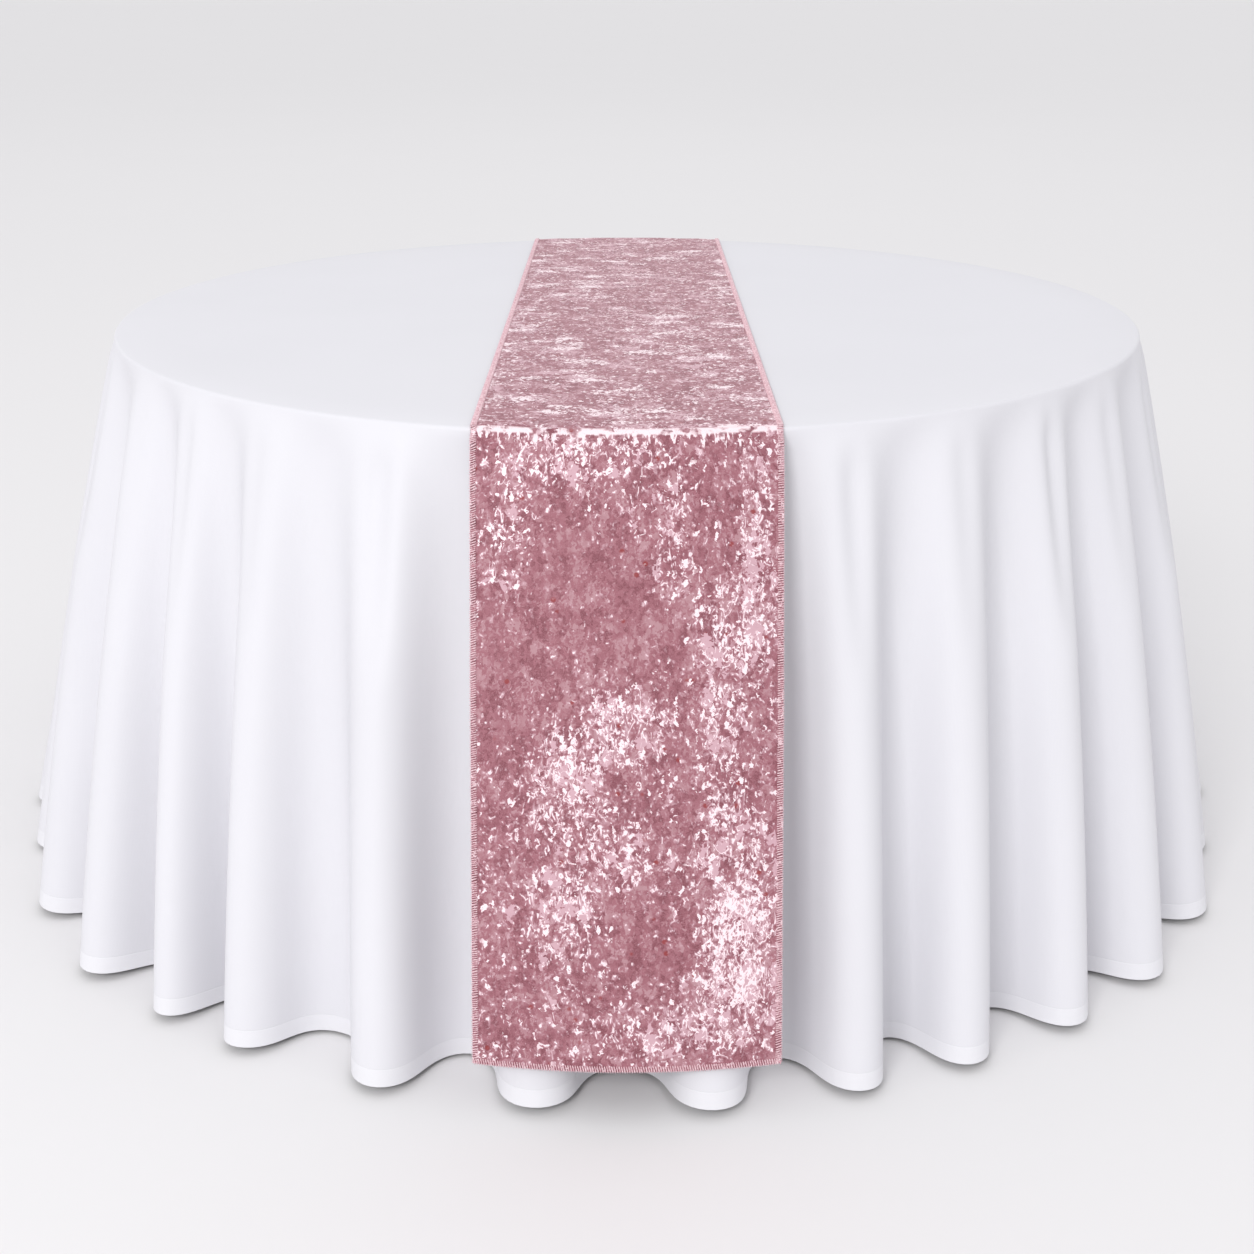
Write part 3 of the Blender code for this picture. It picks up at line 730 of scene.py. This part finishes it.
@dataclass
class Tablecloth:
    """The round cloth: cut flat, laid over the top and hung to the floor in folds.

    Attributes:
        folds: Where its folds stand.
        cut_radius: The radius of the flat cut, in metres as all the sizes are.
        edge_radius: How far out it reaches at the table's edge.
        bend: The radius of its bend over that edge.
        top: How high its upper face lies.
        thickness: Its thickness.
        inner_ring: The radius of the innermost ring of points, inside which it is one flat face.
        columns_a_fold: How many columns of points a fold has.
        skirt_rows: How many rows of points the skirt has above the hem.
        crowding: How much closer the skirt's rows lie near the table's edge.
        hem_mean_radius: The middle radius of the folds at the hem.
        hem_height: How far the hem is turned up.
        hem_gap: How far inside the cloth the turned-up part lies.
        hem_short: How far short of the cloth's edge it ends.
        hem_crest: The radius and the height of the hem at a full crest.
        hem_trough: The same at a full trough.
        dent_width: The width of the dent at the top of a fold, as a share of the fold.
        dent_depth: Its depth, as a share of the fold's, for a dimple of 1.
        dent_full: The drop at which it is deepest.
        dent_ends: The drop at which it has gone.
        drift: How much further round the folds stand at the table's edge than at the hem.
        drift_full: The azimuth up to which they do so fully, in degrees.
        drift_ends: The azimuth from which they don't.
        finish: Its finish.
        rows: The radii of the cut's rings.
        grid: The hung points, by ring and column.
    """

    folds: Folds = field(default_factory=Folds)
    cut_radius: float = 1.524
    edge_radius: float = 0.765
    bend: float = 0.0050
    top: float = 0.7565
    thickness: float = 0.0006
    inner_ring: float = 0.70
    columns_a_fold: int = 32
    skirt_rows: int = 34
    crowding: float = 1.25
    hem_mean_radius: float = 0.950
    hem_height: float = 0.020
    hem_gap: float = 0.0004
    hem_short: float = 0.0012
    hem_crest: tuple[float, float] = (1.000, 0.012)
    hem_trough: tuple[float, float] = (0.900, 0.004)
    dent_width: float = 0.11
    dent_depth: float = 0.5
    dent_full: float = 0.05
    dent_ends: float = 0.30
    drift: float = 0.22
    drift_full: float = 45.0
    drift_ends: float = 125.0
    finish: SatinPolyester = field(default_factory=SatinPolyester)
    rows: np.ndarray = field(init=False)
    grid: np.ndarray = field(init=False)

    def __post_init__(self) -> None:
        """Works out the rings of the cut, from the flat top to the hem."""
        turned = self.bend * math.pi / 2
        inner = [self.inner_ring, self.flat_end, self.flat_end + turned / 3, self.flat_end + 2 * turned / 3]
        hem_start = self.cut_radius - self.hem_height
        share = np.linspace(0.0, 1.0, self.skirt_rows) ** self.crowding
        skirt = self.skirt_start + (hem_start - self.skirt_start) * share
        self.rows = np.concatenate([inner, skirt, [self.mid_hem, self.cut_radius]])

    @property
    def columns(self) -> int:
        """How many columns go round the cloth."""
        return self.folds.count * self.columns_a_fold

    @property
    def edge_z(self) -> float:
        """Where the bend over the table's edge ends and the skirt starts."""
        return self.top - self.bend

    def fall_back(self, x: float | np.ndarray) -> float | np.ndarray:
        """How far back the table's round edge lies at a place across, from its foremost point."""
        return self.edge_radius - np.sqrt(self.edge_radius**2 - x**2)

    @property
    def flat_end(self) -> float:
        """The radius at which the flat top ends and the bend starts."""
        return self.edge_radius - self.bend

    @property
    def skirt_start(self) -> float:
        """The cut radius at which the skirt starts."""
        return self.flat_end + self.bend * math.pi / 2

    @property
    def skirt_length(self) -> float:
        """How long the skirt is, from the bend to the hem's lower edge."""
        return self.cut_radius - self.skirt_start

    @property
    def mid_hem(self) -> float:
        """The cut radius half-way down the hem."""
        return self.cut_radius - self.hem_height / 2

    # -------------------------------------------------- the folded line

    @staticmethod
    def mean_cosine(swing: np.ndarray) -> np.ndarray:
        """How far a wavy line gets along, per length, when its heading swings this far."""
        turns = 2 * math.pi * (np.arange(48) + 0.5) / 48
        return np.cos(swing[..., None] * np.sin(turns)).mean(-1)

    def swing(self, drops: np.ndarray) -> np.ndarray:
        """How far the line of the cloth has to swing so that it fits round the table.

        Args:
            drops: Distances down the cloth from the table's edge.

        Returns:
            The heading's swing at each drop in radians, found by halving.
        """
        goal = np.minimum(self.mean_radius(drops) / (self.edge_radius + drops), 1.0)
        low, high = np.zeros_like(drops), np.full_like(drops, 1.6)
        for _ in range(40):
            middle = (low + high) / 2
            too_straight = self.mean_cosine(middle) > goal
            low = np.where(too_straight, middle, low)
            high = np.where(too_straight, high, middle)
        return low

    def mean_radius(self, drops: np.ndarray) -> np.ndarray:
        """The middle radius of the skirt at each drop."""
        return self.edge_radius + (self.hem_mean_radius - self.edge_radius) * drops / self.skirt_length

    def wave(self, drops: np.ndarray) -> tuple[np.ndarray, np.ndarray, np.ndarray]:
        """One even fold at each drop, from trough to trough.

        Args:
            drops: Distances down the cloth from the table's edge.

        Returns:
            For each drop and column: the share of the fold's angle, the share of the swing from
            trough to crest, and for each drop the depth from trough to crest.
        """
        fine = 4
        steps = self.columns_a_fold * fine
        headings = self.swing(drops)[:, None] * np.sin(2 * math.pi * (np.arange(steps) + 0.5) / steps)
        line = 2 * math.pi * (self.edge_radius + drops) / self.folds.count / steps
        along = np.cumsum(np.cos(headings), axis=1) * line[:, None]
        out = np.cumsum(np.sin(headings), axis=1) * line[:, None]
        along = np.pad(along, ((0, 0), (1, 0)))
        out = np.pad(out, ((0, 0), (1, 0)))
        depth = out.max(1)
        share = along[:, ::fine] / along[:, -1:]
        swing = out[:, ::fine] / np.maximum(depth, 1e-9)[:, None]
        return share[:, :-1], swing[:, :-1], depth

    def skirt(self, drops: np.ndarray) -> tuple[np.ndarray, np.ndarray]:
        """Every fold at each drop, one after the other round the table.

        Args:
            drops: Distances down the cloth from the table's edge.

        Returns:
            The azimuth in radians and the radius of every column at each drop.
        """
        folds = self.folds
        share, swing, depth = self.wave(drops)
        mean = self.mean_radius(drops) - self.edge_radius
        half = np.minimum(depth / 2, mean * 0.98)
        settled = np.clip(drops / self.skirt_length, 0.0, 1.0)
        pulse = np.clip(drops / self.dent_full, 0, 1) * np.clip(1 - drops / self.dent_ends, 0, 1)
        azimuths, radii = [], []
        for fold in range(folds.count):
            start, stop = folds.troughs[fold - 1], folds.troughs[fold]
            if stop < start:
                start -= 360.0
            crest_at = (folds.crests[fold] - start) / (stop - start)
            lean = 4 * (crest_at - 0.5) * share * (1 - share)
            sway = folds.sway[fold] * settled[:, None] * np.sin(math.pi * share)
            azimuths.append(start + (stop - start) * (share + lean) + sway)
            low = mean - half
            crest = (mean + half) * folds.crest_gain[fold]
            start_low = low * folds.trough_gain[fold - 1]
            stop_low = low * folds.trough_gain[fold]
            base = start_low[:, None] * (1 - share) + stop_low[:, None] * share
            dent = folds.dimple[fold] * np.exp(-(((share - crest_at) / self.dent_width) ** 2))
            height = swing - dent * self.dent_depth * pulse[:, None]
            radii.append(self.edge_radius + base + (crest[:, None] - base) * height)
        hung = np.concatenate(azimuths, 1)
        hung = np.mod(hung + 180.0, 360.0) - 180.0
        facing = np.clip((self.drift_ends - np.abs(hung)) / (self.drift_ends - self.drift_full), 0.0, 1.0)
        facing = facing**2 * (3.0 - 2.0 * facing)
        hung *= 1.0 + self.drift * facing * (1.0 - settled[:, None])
        return np.radians(hung), np.concatenate(radii, 1)

    def hang(self) -> np.ndarray:
        """The grid of points of the hung cloth, row by row from the top ring to the hem."""
        drops = self.rows - self.skirt_start
        skirt_drops = drops[drops >= -1e-9].clip(0.0)
        azimuth, radius = self.skirt(skirt_drops)
        around = azimuth[0]
        points = []
        for row in self.rows[drops < -1e-9]:
            turned = max(row - self.flat_end, 0.0) / self.bend
            flat = min(row, self.flat_end) + self.bend * math.sin(turned)
            height = np.full_like(around, self.top - self.bend * (1 - math.cos(turned)))
            points.append(np.stack([flat * np.sin(around), -flat * np.cos(around), height], 1))
        x, y = radius * np.sin(azimuth), -radius * np.cos(azimuth)
        z = np.full_like(x, self.edge_z)
        for row in range(1, len(skirt_drops)):
            step = skirt_drops[row] - skirt_drops[row - 1]
            sideways = (x[row] - x[row - 1]) ** 2 + (y[row] - y[row - 1]) ** 2
            z[row] = z[row - 1] - np.sqrt(np.maximum(step**2 - sideways, (0.5 * step) ** 2))
        hem_out = (radius[-1] - self.hem_trough[0]) / (self.hem_crest[0] - self.hem_trough[0])
        goal = self.hem_trough[1] + (self.hem_crest[1] - self.hem_trough[1]) * hem_out.clip(0.0, 1.1)
        z = self.edge_z - (self.edge_z - z) * (self.edge_z - goal) / (self.edge_z - z[-1])
        points += list(np.stack([x, y, z], 2))
        return np.array(points)

    # -------------------------------------------------- the mesh

    def flat_cut(self, rows: Sequence[float], filled: bool) -> bmesh.types.BMesh:
        """Cuts the flat cloth: a disc or a ring, with its threads' places kept.

        Args:
            rows: The radii of its rings, from the inside out.
            filled: Whether the first ring is filled in.

        Returns:
            The flat bmesh, whose points run ring by ring.
        """
        bm = bmesh.new()
        bmesh.ops.create_circle(bm, cap_ends=filled, segments=self.columns, radius=rows[0])
        rim = bm.edges[:]
        for inner, outer in zip(rows, rows[1:]):
            grown = bmesh.ops.extrude_edge_only(bm, edges=rim)["geom"]
            rim_verts = [v for v in grown if isinstance(v, bmesh.types.BMVert)]
            rim = [e for e in grown if isinstance(e, bmesh.types.BMEdge)]
            rim = [e for e in rim if len(e.link_faces) == 1]
            bmesh.ops.scale(bm, vec=(outer / inner, outer / inner, 1.0), verts=rim_verts)
        bmesh.ops.recalc_face_normals(bm, faces=bm.faces[:])
        if bm.faces[:][-1].normal.z < 0:
            bmesh.ops.reverse_faces(bm, faces=bm.faces[:])
        keep_cut_map(bm)
        return bm

    def drape(self, flat: np.ndarray, lift: float = 0.0) -> np.ndarray:
        """Where points of the flat cut come to lie on the hung cloth.

        Args:
            flat: Points of the cut, in metres from its middle.
            lift: How far outside the cloth's own surface they lie.

        Returns:
            The points on the hung cloth.
        """
        reach = np.hypot(flat[:, 0], flat[:, 1])
        turn = np.mod(np.arctan2(flat[:, 0], -flat[:, 1]) / (2 * math.pi), 1.0) * self.columns
        row = np.interp(reach, self.rows, np.arange(len(self.rows)))
        low_row = np.clip(np.floor(row).astype(int), 0, len(self.rows) - 2)
        down = (row - low_row)[:, None]
        near = np.floor(turn).astype(int)
        aside = (turn - near)[:, None]
        near, far = near % self.columns, (near + 1) % self.columns
        corner = [self.grid[low_row, near], self.grid[low_row, far]]
        corner += [self.grid[low_row + 1, near], self.grid[low_row + 1, far]]
        upper = corner[0] * (1 - aside) + corner[1] * aside
        lower = corner[2] * (1 - aside) + corner[3] * aside
        spot = upper * (1 - down) + lower * down
        out = np.cross(lower - upper, (corner[1] - corner[0]) + (corner[3] - corner[2]))
        out /= np.maximum(np.linalg.norm(out, axis=1, keepdims=True), 1e-12)
        return spot + out * lift

    def build(self) -> list[bpy.types.Object]:
        """Makes the cloth and the turned-up hem inside it.

        Returns:
            The cloth first, then the hem.
        """
        self.grid = self.hang()
        material = self.finish.material()
        bm = self.flat_cut(self.rows, filled=True)
        ranks = self.cut_ranks(bm)
        for vert, (row, column) in zip(bm.verts, ranks):
            vert.co = self.grid[row, column]
        cloth = new_piece("draped_tablecloth", bm, material)
        thicken(cloth, self.thickness, -1.0)
        hem = self.build_hem(material)
        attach(cloth, "cloth")
        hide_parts("tablecloth")
        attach(hem, "cloth")
        return [cloth, hem]

    def cut_ranks(self, bm: bmesh.types.BMesh) -> list[tuple[int, int]]:
        """The ring and column of every point of the flat cut."""
        ranks = []
        for vert in bm.verts:
            row = int(np.argmin(np.abs(self.rows - vert.co.xy.length)))
            turn = math.atan2(vert.co.x, -vert.co.y) / (2 * math.pi) % 1.0
            ranks.append((row, round(turn * self.columns) % self.columns))
        return ranks

    def build_hem(self, material: bpy.types.Material) -> bpy.types.Object:
        """Makes the part of the edge that is turned up inside and stitched."""
        inside = -self.thickness - self.hem_gap
        rings = [self.cut_radius - self.hem_height, self.mid_hem, self.cut_radius - self.hem_short]
        bm = self.flat_cut(rings, filled=False)
        move_all(bm, lambda flat: self.drape(flat, inside))
        hem = new_piece("tablecloth_hem", bm, material)
        thicken(hem, self.thickness, -1.0)
        return hem


# ------------------------------------------------------------------ runner


@dataclass
class Runner:
    """The velvet strip across the table, with its overlocked edge.

    Attributes:
        cloth: The cloth that it lies on.
        width: Its width, in metres as all the sizes are.
        length: Its length, cut flat.
        thickness: The velvet's thickness.
        stand_off: How far its underside lies off the cloth.
        calms_over: The drop by which it no longer follows the table's round edge fully.
        flattens: How much of that roundness it has lost by then.
        columns: How many columns of faces it has.
        rows: How many rows of faces it has.
        stitch_pitch: From one overlock stitch to the next.
        stitch_reach: How far in from the edge a stitch reaches.
        thread_radius: The thread's radius.
        velvet: The panel's finish.
        thread: The overlock's finish.
        lines: For each end, heights and how far out the cloth reaches there.
    """

    cloth: Tablecloth
    width: float = 0.3556
    length: float = 3.03
    thickness: float = 0.0013
    stand_off: float = 0.0016
    calms_over: float = 0.30
    flattens: float = 0.35
    columns: int = 28
    rows: int = 300
    stitch_pitch: float = 0.0028
    stitch_reach: float = 0.0062
    thread_radius: float = 0.00075
    velvet: CrushedVelvet = field(default_factory=CrushedVelvet)
    thread: WoollyThread = field(default_factory=WoollyThread)
    lines: dict[int, tuple[np.ndarray, np.ndarray]] = field(init=False, default_factory=dict)

    def outline(self, way: int) -> tuple[np.ndarray, np.ndarray]:
        """How far out the cloth reaches under the runner, for each height, at one end.

        Args:
            way: -1 for the front, 1 for the back.

        Returns:
            Heights from the table's edge down, and the distance out at each.
        """
        grid = self.cloth.grid
        heights = np.linspace(self.cloth.edge_z, LINE_ENDS, LINE_STEPS)
        reach = []
        near = np.abs(grid[:, :, 0]) < self.width / 2 + LINE_MARGIN
        for height in heights:
            band = near & (np.abs(grid[:, :, 2] - height) < LINE_BAND) & (grid[:, :, 1] * way > 0)
            out = grid[:, :, 1][band] * way
            curve = self.cloth.fall_back(grid[:, :, 0][band])
            calm = min((self.cloth.edge_z - height) / self.calms_over, 1.0) * self.flattens
            reach.append(np.max(out + curve * (1.0 - calm)))
        reach = np.maximum.accumulate(np.array(reach))
        reach[0] = self.cloth.edge_radius
        window = np.ones(LINE_WINDOW) / LINE_WINDOW
        soft = np.convolve(np.pad(reach, LINE_WINDOW // 2, mode="edge"), window, mode="valid")
        return heights, np.maximum(np.maximum(soft, reach), self.cloth.edge_radius)

    def path(self, x: float, way: int) -> tuple[np.ndarray, np.ndarray]:
        """The line that the runner follows at one place across it, at one end.

        Args:
            x: The place across the runner.
            way: -1 for the front, 1 for the back.

        Returns:
            Distances along the line from the middle of the top, and its points as (y, z).
        """
        cloth = self.cloth
        back = cloth.fall_back(x)
        calm = np.minimum((cloth.edge_z - self.lines[way][0]) / self.calms_over, 1.0) * self.flattens
        bend = cloth.bend + self.stand_off
        flat = cloth.flat_end - back
        top = cloth.top + self.stand_off
        line = [(0.0, top)]
        line += [(flat * share, top) for share in np.linspace(0.1, 1.0, 10)]
        for angle in np.linspace(0.2, 1.0, 5) * math.pi / 2:
            line.append((flat + bend * math.sin(angle), top - bend * (1 - math.cos(angle))))
        heights, reach = self.lines[way]
        out = reach - back * (1.0 - calm) + self.stand_off
        line += list(zip(out[1:], heights[1:]))
        points = np.array(line)
        steps = np.linalg.norm(np.diff(points, axis=0), axis=1)
        return np.concatenate([[0.0], np.cumsum(steps)]), points

    def levelled(self, reach: np.ndarray, x: float) -> np.ndarray:
        """Eases the hanging part at one place across, so that the runner's end hangs level."""
        cloth = self.cloth
        back = cloth.fall_back(x)
        flat = cloth.flat_end - back
        spare = self.length / 2 - flat - back
        return np.where(reach > flat, flat + (reach - flat) * spare / (spare + back), reach)

    def place(self, flat: np.ndarray) -> np.ndarray:
        """Where points of the flat runner come to lie, with their height off its underside.

        Args:
            flat: Points as (across, along, height), along measured from the middle.

        Returns:
            The points on the laid and hung runner.
        """
        made = np.zeros_like(flat)
        across = np.round(flat[:, 0], 4)
        for x in np.unique(across):
            for way in (-1, 1):
                chosen = (across == x) & ((flat[:, 1] > 0) == (way > 0))
                if not chosen.any():
                    continue
                lengths, points = self.path(min(abs(x), self.width / 2 + OVERHANG), way)
                reach = self.levelled(np.abs(flat[chosen, 1]), x)
                y, z = (np.interp(reach, lengths, points[:, axis]) for axis in (0, 1))
                ahead, down = (
                    np.interp(reach + NUDGE, lengths, points[:, axis])
                    - np.interp(reach - NUDGE, lengths, points[:, axis])
                    for axis in (0, 1)
                )
                size = np.maximum(np.hypot(ahead, down), 1e-9)
                over = np.maximum(reach - lengths[-1], 0.0)
                out = flat[chosen, 2]
                y = y + over * ahead / size - out * down / size
                z = z + over * down / size + out * ahead / size
                made[chosen] = np.stack([flat[chosen, 0], way * y, z], 1)
        return made

    def build_panel(self) -> bpy.types.Object:
        """Makes the velvet panel with its thickness."""
        bm = bmesh.new()
        half = Matrix.Diagonal((self.width / 2, self.length / 2, 1.0, 1.0))
        bmesh.ops.create_grid(bm, x_segments=self.columns, y_segments=self.rows, size=1.0, matrix=half)
        keep_cut_map(bm)
        move_all(bm, self.place)
        panel = new_piece("velvet_runner", bm, self.velvet.material())
        thicken(panel, self.thickness, 1.0)
        return panel

    def stitch(self) -> bmesh.types.BMesh:
        """One overlock stitch: a thread that goes round the edge from face to face.

        Returns:
            The stitch at the origin, with the edge along Y and the panel towards -X.
        """
        bm = bmesh.new()
        radius = self.thread_radius
        slant = self.stitch_pitch * 0.55
        over = self.thickness + radius * 0.8
        route = [
            Vector((-self.stitch_reach, -slant / 2, over * 0.6)),
            Vector((-self.stitch_reach * 0.80, -slant * 0.3, over + radius * 0.7)),
            Vector((-self.stitch_reach * 0.48, 0.0, over - radius * 0.6)),
            Vector((-self.stitch_reach * 0.16, slant * 0.3, over + radius * 0.7)),
            Vector((radius * 1.4, slant / 2, self.thickness / 2)),
            Vector((-0.0004, slant * 0.35, -radius * 0.5)),
            Vector((-self.stitch_reach, -slant / 2, -radius * 0.3)),
        ]
        ring = bmesh.ops.create_circle(bm, cap_ends=False, segments=5, radius=radius)["verts"]
        for index, spot in enumerate(route):
            before, after = route[max(index - 1, 0)], route[min(index + 1, len(route) - 1)]
            facing = (after - before).to_track_quat("Z", "Y").to_matrix().to_4x4()
            now = Matrix.Translation(spot) @ facing
            move = now
            if index > 0:
                edges = [e for e in bm.edges if all(v in ring for v in e.verts)]
                grown = bmesh.ops.extrude_edge_only(bm, edges=edges)["geom"]
                ring = [v for v in grown if isinstance(v, bmesh.types.BMVert)]
                move = now @ last.inverted()
            bmesh.ops.transform(bm, matrix=move, verts=ring)
            last = now
        bmesh.ops.holes_fill(bm, edges=[e for e in bm.edges if e.is_boundary])
        bmesh.ops.recalc_face_normals(bm, faces=bm.faces[:])
        return bm

    def row_of_stitches(self, length: float, placement: Matrix) -> bpy.types.Mesh:
        """Repeats the stitch along one side of the flat runner.

        Args:
            length: How long the side is.
            placement: Takes the side from the Y axis to its place on the flat runner.

        Returns:
            The stitches of that side, still flat.
        """
        count = round(length / self.stitch_pitch)
        bm = self.stitch()
        made = 1
        while made < count:
            batch = min(made, count - made)
            faces = bm.faces[:][: batch * (len(bm.faces) // made)]
            copied = bmesh.ops.duplicate(bm, geom=faces)["geom"]
            verts = [v for v in copied if isinstance(v, bmesh.types.BMVert)]
            bmesh.ops.translate(bm, vec=(0.0, made * self.stitch_pitch, 0.0), verts=verts)
            bm.faces.index_update()
            made += batch
        bmesh.ops.translate(bm, vec=(0.0, -(count - 1) * self.stitch_pitch / 2, 0.0), verts=bm.verts[:])
        bmesh.ops.transform(bm, matrix=placement, verts=bm.verts[:])
        mesh = bpy.data.meshes.new("stitches")
        bm.to_mesh(mesh)
        bm.free()
        return mesh

    def build_overlock(self) -> bpy.types.Object:
        """Makes the thread that is sewn over all four edges."""
        bm = bmesh.new()
        for turn in range(4):
            along_side = turn % 2 == 0
            length = self.length if along_side else self.width
            out = (self.width if along_side else self.length) / 2
            placement = Matrix.Rotation(turn * math.pi / 2, 4, "Z") @ Matrix.Translation((out, 0.0, 0.0))
            side = self.row_of_stitches(length, placement)
            bm.from_mesh(side)
            bpy.data.meshes.remove(side)
        move_all(bm, self.place)
        return new_piece("runner_overlock", bm, self.thread.material())

    def build(self) -> list[bpy.types.Object]:
        """Makes the runner.

        Returns:
            The panel, then its overlock.
        """
        for way in (-1, 1):
            self.lines[way] = self.outline(way)
        panel = self.build_panel()
        overlock = self.build_overlock()
        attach(panel, "runner")
        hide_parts("runner_panel")
        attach(overlock, "runner")
        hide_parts("runner_overlock_edge")
        return [panel, overlock]


# ------------------------------------------------------------------ table


@dataclass
class FoldingTable:
    """The table under the cloth: its parts keep their shape and get their finishes."""

    plywood: Timber = Timber("birch_plywood", (0.62, 0.45, 0.28), (0.42, 0.27, 0.15), 26.0, 0.42)
    softwood: Timber = Timber("pine_batten", (0.66, 0.47, 0.27), (0.50, 0.31, 0.15), 60.0, 0.55)
    vinyl: Moulded = Moulded("edge_vinyl", (0.085, 0.050, 0.034), (0.14, 0.095, 0.07), 0.38)
    paint: CoatedMetal = CoatedMetal(
        "powder_paint", (0.045, 0.046, 0.050), (0.07, 0.07, 0.075), 0.0, 0.40, 1400.0
    )
    zinc: CoatedMetal = CoatedMetal("zinc_plate", (0.58, 0.59, 0.61), (0.46, 0.46, 0.45), 1.0, 0.28, 700.0)
    rubber: Moulded = Moulded("glide_rubber", (0.022, 0.022, 0.023), (0.06, 0.058, 0.055), 0.62)

    def finish_of(self, node: str) -> Timber | Moulded | CoatedMetal | None:
        """The finish of one part by its name, or None for cloth."""
        wearers = (
            (self.plywood, ("top_panel",)),
            (self.vinyl, ("edge_band",)),
            (self.softwood, ("batten", "spacer")),
            (self.rubber, ("glide",)),
            (self.paint, ("leg_bow", "stretcher", "brace_lug")),
            (self.zinc, ("saddle", "link", "anchor", "pin", "rivet")),
        )
        return next((finish for finish, words in wearers if any(word in node for word in words)), None)

    def dress(self) -> None:
        """Gives every part of the table its finish."""
        made: dict[str, bpy.types.Material] = {}
        for name, node in frame["nodes"].items():
            finish = self.finish_of(name)
            if finish is None:
                continue
            if finish.name not in made:
                made[finish.name] = finish.material()
            for index in range(len(node.material_slots)):
                node.material_slots[index].material = made[finish.name]
            LOG.info("%s: %s", name, finish.name)


# ------------------------------------------------------------------ studio


@dataclass(frozen=True)
class Softbox:
    """A square soft light.

    Attributes:
        name: Its name.
        at: Where it hangs.
        aim: What it points at.
        size: Its side, in metres.
        power: Its power, in watts.
    """

    name: str
    at: Place
    aim: Place
    size: float
    power: float

    def hang(self) -> None:
        """Puts the light in the scene."""
        data = bpy.data.lights.new(self.name, "AREA")
        data.shape = "SQUARE"
        data.size = self.size
        data.energy = self.power
        light = bpy.data.objects.new(self.name, data)
        light.location = self.at
        facing = Vector(self.aim) - Vector(self.at)
        light.rotation_euler = facing.to_track_quat("-Z", "Y").to_euler()
        bpy.context.scene.collection.objects.link(light)


@dataclass
class Studio:
    """A pale floor, soft light and the camera.

    Attributes:
        floor_grey: The floor's colour.
        air: The colour of the light from all round.
        sky: How bright that light is.
        key: The soft light on the front left.
        back: The soft light over the floor behind the table.
        floor_reach: Half the floor's side.
        floor_gap: How far under the table's feet it lies.
        lens: The camera's focal length, in millimetres.
        sensor: Its sensor's width, in millimetres.
        camera_at: Where it stands.
        camera_tilt: Its tilt, where 90 degrees looks level.
    """

    floor_grey: Colour = (0.765, 0.755, 0.760)
    air: Colour = (0.985, 0.985, 1.0)
    sky: float = 0.98
    key: Softbox = Softbox("key", (-3.2, -8.0, 5.4), (0.0, 0.0, 0.4), 3.0, 360.0)
    back: Softbox = Softbox("back", (0.0, 9.0, 6.0), (0.0, 9.0, 0.0), 8.0, 20.0)
    floor_reach: float = 600.0
    floor_gap: float = 0.0005
    lens: float = 49.13
    sensor: float = 36.0
    camera_at: Place = (0.0, -2.651, 1.237)
    camera_tilt: float = 69.21

    def floor(self) -> None:
        """Lays a wide floor just under the table's feet."""
        bm = bmesh.new()
        bmesh.ops.create_grid(bm, x_segments=1, y_segments=1, size=self.floor_reach)
        bmesh.ops.translate(bm, vec=(0.0, 0.0, -self.floor_gap), verts=bm.verts[:])
        made = Finish("studio_floor", Coordinates.SOLID, Roughness=0.7, Specular_IOR_Level=0.2)
        tone = made.noise(made.place, 0.8, 2.0)
        made.colour(made.blend(tone, self.floor_grey, tuple(c * 1.01 for c in self.floor_grey)))
        new_piece("studio_floor", bm, made.material)

    def build(self) -> None:
        """Sets up the floor, the lights, the surroundings and the camera."""
        self.floor()
        self.key.hang()
        self.back.hang()
        world = bpy.data.worlds.new("studio_air")
        bpy.context.scene.world = world
        world.use_nodes = True
        air = world.node_tree.nodes["Background"]
        air.inputs["Color"].default_value = (*self.air, 1.0)
        air.inputs["Strength"].default_value = self.sky
        data = bpy.data.cameras.new("camera")
        data.lens = self.lens
        data.sensor_width = self.sensor
        camera = bpy.data.objects.new("camera", data)
        camera.location = self.camera_at
        camera.rotation_euler = (math.radians(self.camera_tilt), 0.0, 0.0)
        bpy.context.scene.collection.objects.link(camera)
        bpy.context.scene.camera = camera
        bpy.context.scene.view_settings.view_transform = "Standard"


# ------------------------------------------------------------------ main


def clear_leftovers() -> None:
    """Removes whatever the scene held before the frame came in."""
    kept = set(frame["nodes"].values()) | set(frame["bodies"].values())
    for item in [o for o in bpy.data.objects if o not in kept]:
        bpy.data.objects.remove(item)


def main() -> None:
    """Builds the dressed table and reports each piece."""
    logging.basicConfig(level=logging.INFO, format="%(name)s: %(message)s")
    clear_leftovers()
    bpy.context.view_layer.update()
    Studio().build()
    FoldingTable().dress()
    cloth = Tablecloth()
    for piece in cloth.build():
        LOG.info("%s: %d points", piece.name, len(piece.data.vertices))
    for piece in Runner(cloth).build():
        LOG.info("%s: %d points", piece.name, len(piece.data.vertices))


if __name__ == "__main__":
    main()
